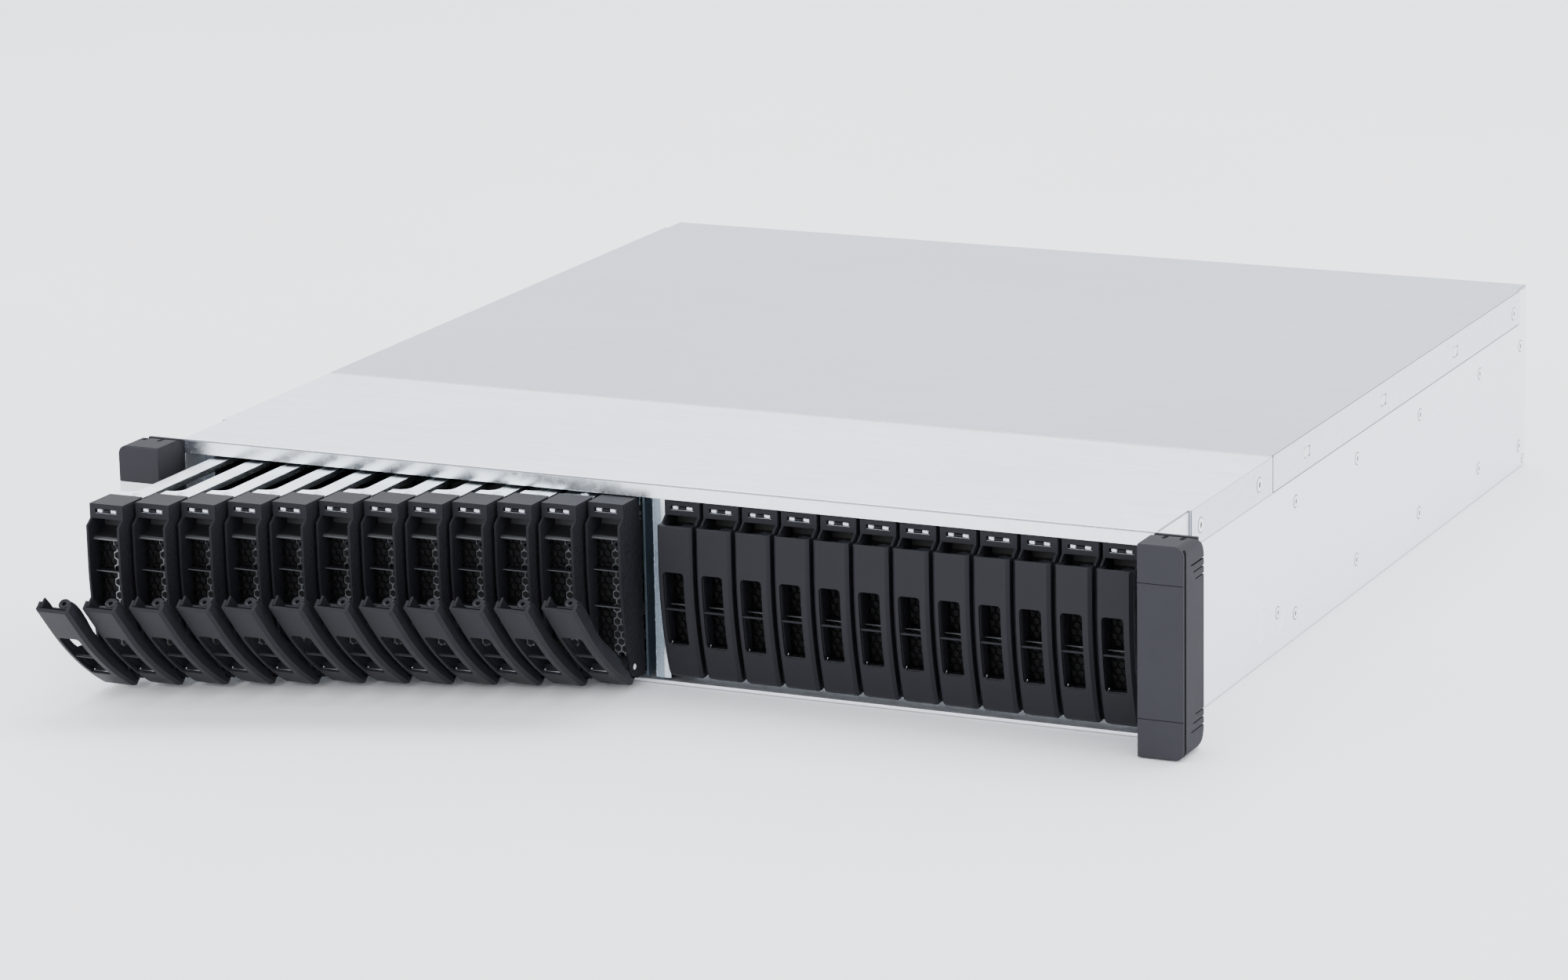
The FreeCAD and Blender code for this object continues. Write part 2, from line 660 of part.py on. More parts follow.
def module_case(name, low_x, high_x, low_z, high_z):
    """A module's sheet housing, open towards the midplane, with a thick face."""
    rear, wall = cell("module_rear"), 1.2
    front = rear - cell("module_deep")
    block = box(name + "_block", (low_x, high_x), (front, rear), (low_z, high_z))
    hollow = box(name + "_hollow", (low_x + wall, high_x - wall), (front - 1, rear - 20),
                 (low_z + wall, high_z - wall))
    return cut(name, block, hollow)


def bail(name, low_x, high_x, level):
    """A pull handle: a square-legged loop standing off the face plate."""
    body = new_body(name)
    rear, reach, thick = cell("module_rear"), 20.0, 5.0
    loop = [(low_x, rear), (low_x, rear + reach), (high_x, rear + reach), (high_x, rear),
            (high_x - thick, rear), (high_x - thick, rear + reach - thick),
            (low_x + thick, rear + reach - thick), (low_x + thick, rear)]
    pad(body, outline(body, "xy", loop, offset=level - thick / 2), thick)
    return body


def power_supply(name, bay):
    """Supply module: housing, power inlet, fan recess and a pull handle."""
    low_x, high_x = bay[0] + BAY_PLAY, bay[1] - BAY_PLAY
    rear, low_z, high_z = cell("module_rear"), MODULE_LOW + BAY_PLAY, MODULE_TOP - BAY_PLAY
    case = module_case(name + "_case", low_x, high_x, low_z, high_z)
    inlet_x, inlet_z = low_x + 14, low_z + 12
    inlet = box(name + "_inlet", (inlet_x, inlet_x + 27.4), (rear - 17, rear + 1), (inlet_z, inlet_z + 19.8))
    fan_x, fan_z = high_x - 30, low_z + 50
    fan = rod(name + "_fan", "y", 19.0, rear - 8, 9, fan_x, fan_z)
    handle = bail(name + "_handle", low_x + 12, low_x + 47, low_z + 50)
    body = cut(name + "_body", cut(name + "_shell", case, inlet), fan)
    return fuse(name, [body, handle])


def io_module(name, bay, low_z, high_z):
    """Interface module: housing, two wide ports, a network port and two pull handles."""
    low_x, high_x = bay[0] + BAY_PLAY, bay[1] - BAY_PLAY
    rear = cell("module_rear")
    body = module_case(name + "_case", low_x, high_x, low_z, high_z)
    middle = (low_z + high_z) / 2
    ports = ((-36.0, 19.4, 9.6), (-6.0, 19.4, 9.6), (24.0, 12.6, 9.0))
    for index, (left, wide, tall) in enumerate(ports):
        port = box("%s_port_%d" % (name, index), (left, left + wide), (rear - 13, rear + 1),
                   (middle - tall / 2, middle + tall / 2))
        body = cut("%s_body_%d" % (name, index), body, port)
    handles = [bail("%s_handle_%d" % (name, index), start, start + 32, middle)
               for index, start in enumerate((low_x + 6, high_x - 38))]
    return fuse(name, [body] + handles)


def rear_modules():
    left, middle, right = MODULE_BAYS
    split = (MODULE_LOW + MODULE_TOP) / 2
    return [
        power_supply("power_supply_left", left),
        power_supply("power_supply_right", right),
        io_module("io_module_lower", middle, MODULE_LOW + BAY_PLAY, split - 0.4),
        io_module("io_module_upper", middle, split + 0.4, MODULE_TOP - BAY_PLAY),
    ]


# ---------------------------------------------------------------- assembly and export

def assemble():
    nodes = carriers()
    nodes += [chassis_pan(), drive_cage(), midplane_board(), front_cover(), rear_cover()]
    nodes += [ear("left_ear", -1), ear("right_ear", 1)]
    nodes += rear_modules()
    for node in nodes:
        node.Label = node.Name
    return nodes


def check_document(nodes):
    """Stop on any failed object or unsound shape."""
    for item in doc.Objects:
        if "Invalid" in item.State or "Error" in item.State:
            raise RuntimeError("%s failed: %s" % (item.Name, item.State))
    for node in nodes:
        if node.Shape.isNull() or not node.Shape.isValid():
            raise RuntimeError("%s has no valid shape" % node.Label)


NODES = assemble()
doc.recompute()
check_document(NODES)
os.makedirs("parts", exist_ok=True)
for node in NODES:
    node.Shape.exportStep(os.path.join("parts", node.Label + ".step"))
print("%d nodes written" % len(NODES))
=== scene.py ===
import json
import math

import bmesh
import bpy
from mathutils import Matrix, Vector


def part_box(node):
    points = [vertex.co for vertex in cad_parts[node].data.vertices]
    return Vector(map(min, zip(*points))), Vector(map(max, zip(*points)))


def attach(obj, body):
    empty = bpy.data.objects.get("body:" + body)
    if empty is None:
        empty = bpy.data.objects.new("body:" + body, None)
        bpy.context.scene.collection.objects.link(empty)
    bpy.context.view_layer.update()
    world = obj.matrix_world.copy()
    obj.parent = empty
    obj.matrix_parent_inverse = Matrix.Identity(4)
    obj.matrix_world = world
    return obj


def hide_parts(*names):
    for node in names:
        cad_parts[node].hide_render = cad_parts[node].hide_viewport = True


# Looks of a disk shelf with 24 carriers. Shapes are written in millimetres and turned into metres when
# a mesh is made. The axes are the CAD's: +X right, +Y rear, +Z up, rack plane at Y 0.

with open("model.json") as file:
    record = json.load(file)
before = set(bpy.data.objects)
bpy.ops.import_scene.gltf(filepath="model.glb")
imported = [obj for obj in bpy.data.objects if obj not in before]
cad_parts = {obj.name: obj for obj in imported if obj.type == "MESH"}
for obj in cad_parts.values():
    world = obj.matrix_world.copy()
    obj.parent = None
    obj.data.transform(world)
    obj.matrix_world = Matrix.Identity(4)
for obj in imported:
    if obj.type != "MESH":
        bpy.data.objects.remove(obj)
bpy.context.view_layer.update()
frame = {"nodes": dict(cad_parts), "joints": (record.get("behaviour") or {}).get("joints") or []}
NODES = frame["nodes"]
JOINTS = {joint["name"]: joint for joint in frame["joints"]}
MM = 0.001

# Planes of the shelf: outside of the side walls and of the cover skirts, from the middle; top of the
# front cover; rear face of the modules.
WALL, SKIRT, TOP_FRONT, REAR = 222.4, 223.5, 86.6, 488.0
CARRIERS = 24
SUPPLIES = ("power_supply_left", "power_supply_right")
INTERFACES = ("io_module_lower", "io_module_upper")


# ---------------------------------------------------------------- forms

def spot(axis, u, v, along):
    """A point, from two places across an axis, in the order of the other axes, and one along it."""
    return {"x": (along, u, v), "y": (u, along, v), "z": (u, v, along)}[axis]


def discard(item):
    """Removes an object that was made for a moment, and its mesh."""
    mesh = item.data
    bpy.data.objects.remove(item)
    bpy.data.meshes.remove(mesh)


class Form:
    """A mesh in the making, in millimetres. Each added part gets a material number."""

    def __init__(self):
        self.bm = bmesh.new()

    def skinned(self, rings, material):
        """Faces from each ring of points to the next, and one over each end."""
        rings = [[self.bm.verts.new(point) for point in ring] for ring in rings]
        faces = [self.bm.faces.new(rings[0]), self.bm.faces.new(rings[-1])]
        for near, far in zip(rings, rings[1:]):
            for i in range(len(near)):
                j = (i + 1) % len(near)
                faces.append(self.bm.faces.new((near[i], near[j], far[j], far[i])))
        for face in faces:
            face.material_index = material
        bmesh.ops.recalc_face_normals(self.bm, faces=faces)
        return self

    def prism(self, points, axis, low, high, material=0):
        """A polygon drawn across an axis, in the order of the two other axes, from low to high."""
        return self.skinned([[spot(axis, u, v, along) for u, v in points] for along in (low, high)], material)

    def box(self, x, y, z, material=0):
        return self.prism([(x[0], y[0]), (x[1], y[0]), (x[1], y[1]), (x[0], y[1])], "z", *z, material)

    def turned(self, axis, across, up, profile, material=0, sides=24):
        """A turned part: rings of (radius, place along the axis), closed at both ends."""
        return self.skinned([[spot(axis, across + radius * math.cos(math.tau * k / sides),
                                   up + radius * math.sin(math.tau * k / sides), along)
                              for k in range(sides)] for radius, along in profile], material)

    def rod(self, axis, across, up, radius, low, high, material=0, sides=20):
        return self.turned(axis, across, up, ((radius, low), (radius, high)), material, sides)

    def add(self, other, material=None):
        """Takes in another form, which keeps its material numbers unless one is given."""
        mesh = bpy.data.meshes.new("passing")
        other.bm.to_mesh(mesh)
        before = set(self.bm.faces)
        self.bm.from_mesh(mesh)
        bpy.data.meshes.remove(mesh)
        if material is not None:
            for face in self.bm.faces:
                if face not in before:
                    face.material_index = material
        return self

    def moved(self, function):
        """Each vertex goes to function(x, y, z)."""
        for vert in self.bm.verts:
            vert.co = function(*vert.co)
        return self

    def sliced(self, axis, place, sign=1, trim=False):
        """New edges where a plane across an axis meets the form; trim takes off what is beyond the plane."""
        point, normal = Vector((0, 0, 0)), Vector((0, 0, 0))
        point[axis], normal[axis] = place, sign
        geometry = [*self.bm.verts, *self.bm.edges, *self.bm.faces]
        bmesh.ops.bisect_plane(self.bm, geom=geometry, plane_co=point, plane_no=normal, clear_outer=trim)
        return self

    def passing_object(self):
        """An object of the form, for a modifier; discard takes it away."""
        mesh = bpy.data.meshes.new("passing")
        self.bm.to_mesh(mesh)
        item = bpy.data.objects.new("passing", mesh)
        bpy.context.scene.collection.objects.link(item)
        return item

    def worked(self, kind, **settings):
        """The form after a modifier."""
        item = self.passing_object()
        modifier = item.modifiers.new(kind.lower(), kind)
        for name, value in settings.items():
            setattr(modifier, name, value)
        graph = bpy.context.evaluated_depsgraph_get()
        mesh = bpy.data.meshes.new_from_object(item.evaluated_get(graph))
        result = Form()
        result.bm.from_mesh(mesh)
        discard(item)
        bpy.data.meshes.remove(mesh)
        return result

    def carved(self, *tools, way="DIFFERENCE"):
        """What is left outside the tools."""
        result = self
        for tool in tools:
            knife = tool.passing_object()
            result = result.worked("BOOLEAN", object=knife, operation=way, solver="EXACT")
            discard(knife)
        return result

    def kept(self, *tools):
        """What is left inside every tool."""
        return self.carved(*tools, way="INTERSECT")

    def softened(self, width, segments, angle=30):
        """The form with its edges rounded, in millimetres, where they turn by more than an angle."""
        return self.worked("BEVEL", width=width, segments=segments, limit_method="ANGLE",
                           angle_limit=math.radians(angle), use_clamp_overlap=True)

    def mesh(self, name, materials, smooth=35):
        """The mesh in metres; edges that turn by more than the smooth angle stay sharp."""
        result = bpy.data.meshes.new(name)
        self.bm.to_mesh(result)
        result.transform(Matrix.Scale(MM, 4))
        for material in materials:
            result.materials.append(material)
        result.shade_smooth()
        result.set_sharp_from_angle(angle=math.radians(smooth))
        return result


def piece(name, mesh, body, place=None):
    """A piece of the scene that rides on a CAD body; place is a matrix in metres."""
    item = bpy.data.objects.new(name, mesh)
    bpy.context.scene.collection.objects.link(item)
    if place is not None:
        item.matrix_world = place
    weighted = item.modifiers.new("weighted", "WEIGHTED_NORMAL")
    weighted.keep_sharp = True
    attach(item, body)
    return item


def fitting(name, form, materials, body="chassis"):
    """A form that is used once, where it is drawn."""
    return piece(name, form.mesh(name, materials), body)


def rounded(low_u, high_u, low_v, high_v, radius, steps=4):
    """A rectangle with round corners."""
    points = []
    for u, v, start in ((high_u - radius, high_v - radius, 0), (low_u + radius, high_v - radius, 90),
                        (low_u + radius, low_v + radius, 180), (high_u - radius, low_v + radius, 270)):
        for k in range(steps + 1):
            angle = math.radians(start + 90 * k / steps)
            points.append((u + radius * math.cos(angle), v + radius * math.sin(angle)))
    return points


def rectangle(low_u, high_u, low_v, high_v):
    return [(low_u, low_v), (high_u, low_v), (high_u, high_v), (low_u, high_v)]


# ---------------------------------------------------------------- materials

class Finish:
    """A node material: a base colour that varies, roughness that varies and a fine bump."""

    def __init__(self, name, metallic=0.0, **sockets):
        self.material = bpy.data.materials.new(name)
        self.material.use_nodes = True
        self.tree = self.material.node_tree
        self.shader = self.tree.nodes["Principled BSDF"]
        self.shader.inputs["Metallic"].default_value = metallic
        for socket, value in sockets.items():
            self.shader.inputs[socket.replace("_", " ")].default_value = value
        self.place = self.tree.nodes.new("ShaderNodeTexCoord").outputs["Object"]

    def node(self, kind, **values):
        """A new node; each value is set on the node itself or else on its socket of that name."""
        item = self.tree.nodes.new("ShaderNode" + kind)
        for name, value in values.items():
            if hasattr(item, name):
                setattr(item, name, value)
            else:
                item.inputs[name.replace("_", " ")].default_value = value
        return item

    def link(self, source, target):
        self.tree.links.new(source, target)

    def noise(self, scale, stretch=(1, 1, 1), detail=3.0, rough=0.6):
        """Noise in the piece's own coordinates; a small stretch along an axis draws it out into streaks."""
        mapping = self.node("Mapping")
        mapping.inputs["Scale"].default_value = stretch
        self.link(self.place, mapping.inputs["Vector"])
        texture = self.node("TexNoise", Scale=scale, Detail=detail, Roughness=rough)
        self.link(mapping.outputs["Vector"], texture.inputs["Vector"])
        return texture.outputs["Fac"]

    def paint(self, source, dark, light, low=0.3, high=0.7):
        """The base colour runs from dark, where the source is low, to light, where it is high."""
        item = self.node("ValToRGB")
        for index, (place, colour) in enumerate(((low, dark), (high, light))):
            item.color_ramp.elements[index].position = place
            item.color_ramp.elements[index].color = (*colour, 1)
        self.link(source, item.inputs["Fac"])
        self.link(item.outputs["Color"], self.shader.inputs["Base Color"])

    def roughen(self, source, low, high):
        """The roughness runs from low to high over the middle of the source."""
        item = self.node("MapRange")
        for socket, value in (("From Min", 0.3), ("From Max", 0.7), ("To Min", low), ("To Max", high)):
            item.inputs[socket].default_value = value
        self.link(source, item.inputs["Value"])
        self.link(item.outputs["Result"], self.shader.inputs["Roughness"])

    def bump(self, source, strength, distance):
        item = self.node("Bump", Strength=strength, Distance=distance)
        self.link(source, item.inputs["Height"])
        self.link(item.outputs["Normal"], self.shader.inputs["Normal"])


def shade(colour, factor):
    """A colour made darker or lighter."""
    return tuple(min(1.0, channel * factor) for channel in colour)


def plastic(name, colour, rough, vary=0.18, bump=0.25, **sockets):
    """Moulded plastic: slow cloudiness and a fine grain."""
    finish = Finish(name, **sockets)
    cloud = finish.noise(45, detail=4)
    grain = finish.noise(2600, detail=2)
    finish.paint(cloud, shade(colour, 1 - vary), shade(colour, 1 + vary))
    finish.roughen(grain, rough - 0.03, rough + 0.04)
    finish.bump(grain, bump, 0.00006)
    return finish.material


def sheet_steel(name, colour, rough, stretch=(1, 1, 1), vary=0.06, metallic=0.85, cloud=6):
    """Rolled and coated sheet: fine streaks along the rolling direction over slow cloudiness."""
    finish = Finish(name, metallic=metallic)
    streak = finish.noise(260, stretch, detail=5, rough=0.7)
    slow = finish.noise(cloud, detail=2)
    mix = finish.node("Mix", data_type="FLOAT")
    mix.inputs[0].default_value = 0.35
    finish.link(streak, mix.inputs[2])
    finish.link(slow, mix.inputs[3])
    finish.paint(mix.outputs[0], shade(colour, 1 - vary), shade(colour, 1 + vary), 0.35, 0.65)
    finish.roughen(streak, rough - 0.05, rough + 0.07)
    finish.bump(streak, 0.08, 0.00005)
    return finish.material


def spangled(name, colour, rough):
    """Hot-dip galvanised steel: small crystal patches of different brightness."""
    finish = Finish(name, metallic=0.9)
    cells = finish.node("TexVoronoi", Scale=5000.0)
    finish.link(finish.place, cells.inputs["Vector"])
    finish.paint(cells.outputs["Color"], shade(colour, 0.6), shade(colour, 1.3), 0.2, 0.8)
    finish.roughen(cells.outputs["Color"], rough - 0.12, rough + 0.15)
    return finish.material


BLACK = plastic("moulded_black", (0.0115, 0.0115, 0.0142), 0.58, vary=0.08, bump=0.15,
                Specular_IOR_Level=0.12)
LEVER = plastic("lever_black", (0.0102, 0.0102, 0.0128), 0.44, vary=0.05, bump=0.1, Specular_IOR_Level=0.14)
EAR = plastic("ear_grey", (0.029, 0.029, 0.0335), 0.66, vary=0.03, bump=0.1, Specular_IOR_Level=0.06)
WHITE = plastic("plate_white", (0.78, 0.79, 0.82), 0.35, vary=0.02, bump=0.08)
PIN = plastic("pin_white", (0.72, 0.72, 0.72), 0.4, vary=0.03)
PIPE = plastic("light_pipe", (0.62, 0.64, 0.72), 0.2, vary=0.08, bump=0.05)
LIT = plastic("lit_edge_black", (0.05, 0.052, 0.056), 0.4, vary=0.05, bump=0.1)
# Near-black painted shade for recesses, gaps, and the insides of bays, grille backings and ear channels.
SHADE_BLACK = plastic("painted_shade_black", (0.006, 0.006, 0.007), 0.6)
FRONT_TOP = sheet_steel("front_cover_steel", (0.69, 0.73, 0.79), 0.42, (0.12, 1, 1), vary=0.1, cloud=2.5)
# The rear cover's top: a darker copy of the cover steel, painted shade.
REAR_TOP_SHADED = sheet_steel("rear_cover_top_painted_shade", (0.38, 0.41, 0.48), 0.38, (0.12, 1, 1), vary=0.12, cloud=2.5)
# Dark steel for the covers' rounded folds: painted shade along the folds.
FOLD_SHADE = sheet_steel("folded_edge_painted_shade", (0.11, 0.12, 0.145), 0.35, vary=0.05)
WALL_STEEL = sheet_steel("wall_steel", (0.84, 0.86, 0.91), 0.42, (1, 0.12, 1), vary=0.025)
BRIGHT = sheet_steel("rail_steel", (0.80, 0.85, 0.90), 0.24, (1, 0.1, 1), metallic=1.0)
POST = sheet_steel("post_steel", (0.13, 0.17, 0.205), 0.38, (1, 1, 0.1), vary=0.15, metallic=0.9)
# Near-white strips along cut sheet edges: painted highlights.
CUT_EDGE_HIGHLIGHT = plastic("cut_edge_painted_highlight", (0.93, 0.93, 0.94), 0.3, vary=0.02, bump=0.02)
SPANGLE = spangled("galvanised", (0.36, 0.44, 0.52), 0.42)
MESH = sheet_steel("mesh_steel", (0.85, 0.88, 0.90), 0.2, vary=0.1, metallic=1.0)
# Steel of the perforated sheet's faces, painted darker than its bright rims as shade.
MESH_FACE_SHADED = sheet_steel("mesh_face_painted_shade", (0.13, 0.135, 0.14), 0.3, vary=0.3, metallic=0.95)
MESH_DARK = plastic("mesh_dark", (0.0028, 0.0028, 0.003), 0.6, Specular_IOR_Level=0.06)
BOARD = plastic("board_green", (0.002, 0.016, 0.008), 0.5, vary=0.3)
SCREW = sheet_steel("screw_steel", (0.62, 0.64, 0.67), 0.3, vary=0.08, metallic=1.0)
MODULE = sheet_steel("module_steel", (0.36, 0.38, 0.41), 0.36, (0.12, 1, 1))
STATUS = plastic("status_green", (0.05, 0.42, 0.12), 0.25, vary=0.05)
TOUCH = plastic("touch_blue", (0.03, 0.10, 0.26), 0.4, vary=0.05)
HEAD = sheet_steel("screw_head", (0.88, 0.90, 0.93), 0.3, vary=0.05, metallic=1.0)
# Black plastic of sockets, inlet, fan and tongues, also used as painted shade in screw seats, screw recesses,
# vents and the modules' openings.
SOCKET_AND_SHADE = plastic("socket_black_and_painted_shade", (0.01, 0.01, 0.011), 0.35)

# ---------------------------------------------------------------- carrier

# A carrier is drawn about its own middle. The axis of the lever's hinge; half the width of the moulded
# front, outside and inside its cheeks; the planes where the moulding ends and where the tray ends.
PIVOT_Y, PIVOT_Z = 6.3, 9.2
HALF, IN = 7.95, 6.85
MOULD_END, TRAY_END = 15.5, 131.0

# Depth of the cheeks' front and of the lever's face. Below the height STRAIGHT both curve back on a RADIUS.
CHEEK, FACE, STRAIGHT, RADIUS = -4.4, -9.4, 56.0, 155.0
OPEN_ANGLE = 41


def bend(z):
    """How far the lever's face has curved back at a height."""
    drop = max(0.0, STRAIGHT - z)
    return RADIUS - math.sqrt(RADIUS ** 2 - drop ** 2)


def face_line(depth):
    """Points down a line that runs at a depth behind the curved part of the face."""
    low, steps = 14.5, 10
    heights = [low + (STRAIGHT - low) * step / steps for step in range(steps, -1, -1)]
    return [(FACE + depth + bend(z), z) for z in heights]


def arc(centre_u, centre_v, radius, start, stop, steps=8):
    """Points on part of a circle, between two angles in degrees."""
    return [(centre_u + radius * math.cos(math.radians(start + (stop - start) * k / steps)),
             centre_v + radius * math.sin(math.radians(start + (stop - start) * k / steps)))
            for k in range(steps + 1)]


def cheek_outline():
    """The side view of the moulded front."""
    points = [(MOULD_END, 3.7), (MOULD_END, 80.0), (-1.0, 80.0), (-1.0, 73.7), (CHEEK, 71.2)]
    points += face_line(CHEEK - FACE)
    points += arc(PIVOT_Y, PIVOT_Z, 4.2, 158, 285, 11)
    points += [(8.6, 3.7)]
    return points


def hexagons(low_x, high_x, low_z, high_z, pitch, wall, front, back, material, edge):
    """A perforated sheet with six-sided holes and real thickness; edge is the material of the holes' rims."""
    form = Form()
    radius = pitch / math.sqrt(3)
    hole = (pitch - wall) / math.sqrt(3)
    rows = int((high_z - low_z) / (radius * 1.5)) + 2
    columns = int((high_x - low_x) / pitch) + 2
    made = {}

    def vert(x, y, z):
        key = (round(x, 2), round(y, 2), round(z, 2))
        if key not in made:
            made[key] = form.bm.verts.new((x, y, z))
        return made[key]

    for row in range(rows):
        for column in range(columns):
            middle_x = low_x + (column + 0.5 * (row % 2)) * pitch
            middle_z = low_z + row * radius * 1.5
            outer, inner = [], []
            for k in range(6):
                angle = math.radians(30 + 60 * k)
                outer.append((middle_x + radius * math.cos(angle), middle_z + radius * math.sin(angle)))
                inner.append((middle_x + hole * math.cos(angle), middle_z + hole * math.sin(angle)))
            for k in range(6):
                n = (k + 1) % 6
                quad = (outer[k], outer[n], inner[n], inner[k])
                for level in (front, back):
                    form.bm.faces.new([vert(x, level, z) for x, z in quad]).material_index = material
                rim = [vert(x, level, z) for (x, z), level in ((inner[k], front), (inner[n], front),
                                                               (inner[n], back), (inner[k], back))]
                form.bm.faces.new(rim).material_index = edge
    for axis, place, sign in ((0, low_x, -1), (0, high_x, 1), (2, low_z, -1), (2, high_z, 1)):
        form.sliced(axis, place, sign, trim=True)
    bmesh.ops.recalc_face_normals(form.bm, faces=form.bm.faces)
    return form


def side_ribs():
    """Fine diagonal ribs on the outside of both cheeks."""
    ribs = Form()
    slope, pitch, half = math.tan(math.radians(46)), 2.9, 0.62
    for number in range(42):
        start = -20 + number * pitch
        front, back = start - 6 * slope, start + 16 * slope
        rib = [(-6.0, front - half), (16.0, back - half), (16.0, back + half), (-6.0, front + half)]
        for side in (-1, 1):
            ribs.prism(rib, "x", *sorted((side * (HALF - 0.2), side * (HALF + 0.18))))
    limit = [(14.1, 4.5), (14.1, 79.2), (-0.2, 79.2), (-0.2, 73.6), (CHEEK + 0.8, 70.8)]
    limit += face_line(CHEEK - FACE + 0.8)
    limit += arc(PIVOT_Y, PIVOT_Z, 3.5, 158, 285) + [(8.8, 4.5)]
    ribs = ribs.kept(Form().prism(limit, "x", -HALF - 1, HALF + 1))
    return ribs.carved(Form().rod("x", PIVOT_Y, PIVOT_Z, 1.9, -HALF - 1, HALF + 1, sides=24))


def bezel_form():
    """Head, cheeks, scoop, frame, crossbars and the drive's screw boss.

    Material 0 black, 1 light pipe, 2 white pin, 3 painted shade black, 4 screw steel, 5 lit edge.
    """
    shell = Form().prism(cheek_outline(), "x", -HALF, HALF)
    hollow = [(-12, 73.7), (-12, 0), (8.6, 0), (8.6, 4.15), (12.5, 4.15), (12.5, 73.7)]
    shell = shell.carved(Form().prism(hollow, "x", -IN, IN))
    shell = shell.carved(Form().prism(rounded(-5.4, 5.4, 9.0, 63.0, 0.8, 3), "y", 10, 20))
    form = shell.softened(0.28, 2)
    form = form.carved(Form().prism(rounded(-5.3, 5.2, 76.0, 77.9, 0.2, 2), "y", -3, 0.8),
                       Form().prism(rectangle(2.0, 2.6, 54.6, 63.6), "x", HALF - 0.45, HALF + 2),
                       Form().rod("x", PIVOT_Y, PIVOT_Z, 1.5, HALF - 0.5, HALF + 2, sides=20),
                       Form().box((HALF - 0.3, HALF + 1), (14.3, 16), (66, 81)))
    # The scoop under the head is painted near-black: painted shade in the recess.
    scoop = [(2.6, 74.2), (7.0, 73.6), (8.8, 71.0), (8.4, 68.6), (6.2, 66.9), (2.4, 66.2), (-0.1, 66.0),
             (-0.5, 65.5), (-0.4, 64.7), (0.2, 64.3), (6.4, 64.8), (9.8, 66.8), (10.6, 70.6), (9.2, 74.2)]
    form.add(Form().prism(scoop, "x", -IN - 0.3, IN + 0.3).softened(0.2, 2, 35), 3)
    for height in (35.5, 51.0):
        form.prism(rectangle(0.5, 12.6, height - 0.2, height + 0.2), "x", -IN - 0.3, IN + 0.3)
        form.box((-IN - 0.1, IN + 0.1), (0.35, 0.55), (height - 0.22, height + 0.22), 5)
    form.box((-IN - 0.1, IN + 0.1), (-0.75, -0.35), (64.6, 65.3), 5)
    boss = ((1.9, 6.0), (1.9, 1.0), (1.6, 0.6), (0.75, 0.6), (0.75, 3.0))
    form.turned("y", 3.9, 62.4, boss, sides=20)
    form.box((3.9, IN + 0.2), (1.2, 6.0), (60.7, 64.6))
    form.box((HALF - 0.4, HALF - 0.08), (14.4, 15.0), (76.2, 78.3), 4)
    form.rod("x", 14.9, 79.1, 0.55, HALF - 0.4, HALF, 4, sides=12)
    for level in (70.4, 72.3, 73.1):
        form.rod("x", 14.7, level, 0.28, HALF - 0.4, HALF - 0.05, 4, sides=8)
    form.add(side_ribs())
    for left, right, tilt in ((-4.5, -2.3, 0.18), (1.8, 4.3, 0.12)):
        pipe = [(left, 76.35), (right, 76.2), (right, 77.35 + tilt), (left, 77.6)]
        form.add(Form().prism(pipe, "y", -0.45, 1.0).softened(0.22, 2), 1)
    form.add(Form().box((-1.9, 1.4), (-0.3, 1.0), (76.3, 77.3)).softened(0.15, 1), 0)
    form.box((-5.2, 5.1), (-0.75, 0.7), (75.98, 76.1), 4)
    pin = ((1.25, -HALF), (1.25, HALF - 0.15), (1.0, HALF + 0.05))
    return form.turned("x", PIVOT_Y, PIVOT_Z, pin, 2)


# How deep the lever's inner wings reach behind its face: height, depth.
LEFT_WING = ((71.0, 6.9), (66.0, 7.3), (62.0, 7.3), (58.0, 6.8), (54.0, 5.4), (48.0, 4.4),
             (40.0, 4.4), (36.0, 4.9), (34.0, 6.8), (28.0, 7.9), (20.0, 7.5), (14.0, 5.9))
RIGHT_WING = ((71.0, 5.8), (69.8, 7.0), (66.0, 8.0), (61.0, 8.4), (55.0, 8.1), (48.0, 7.2),
              (41.0, 7.2), (34.0, 7.7), (27.0, 8.1), (20.0, 7.5), (14.0, 5.9))


def bent(form):
    """A part of the lever, drawn straight, that follows the curve of the face."""
    return form.moved(lambda x, y, z: (x, y + bend(z), z))


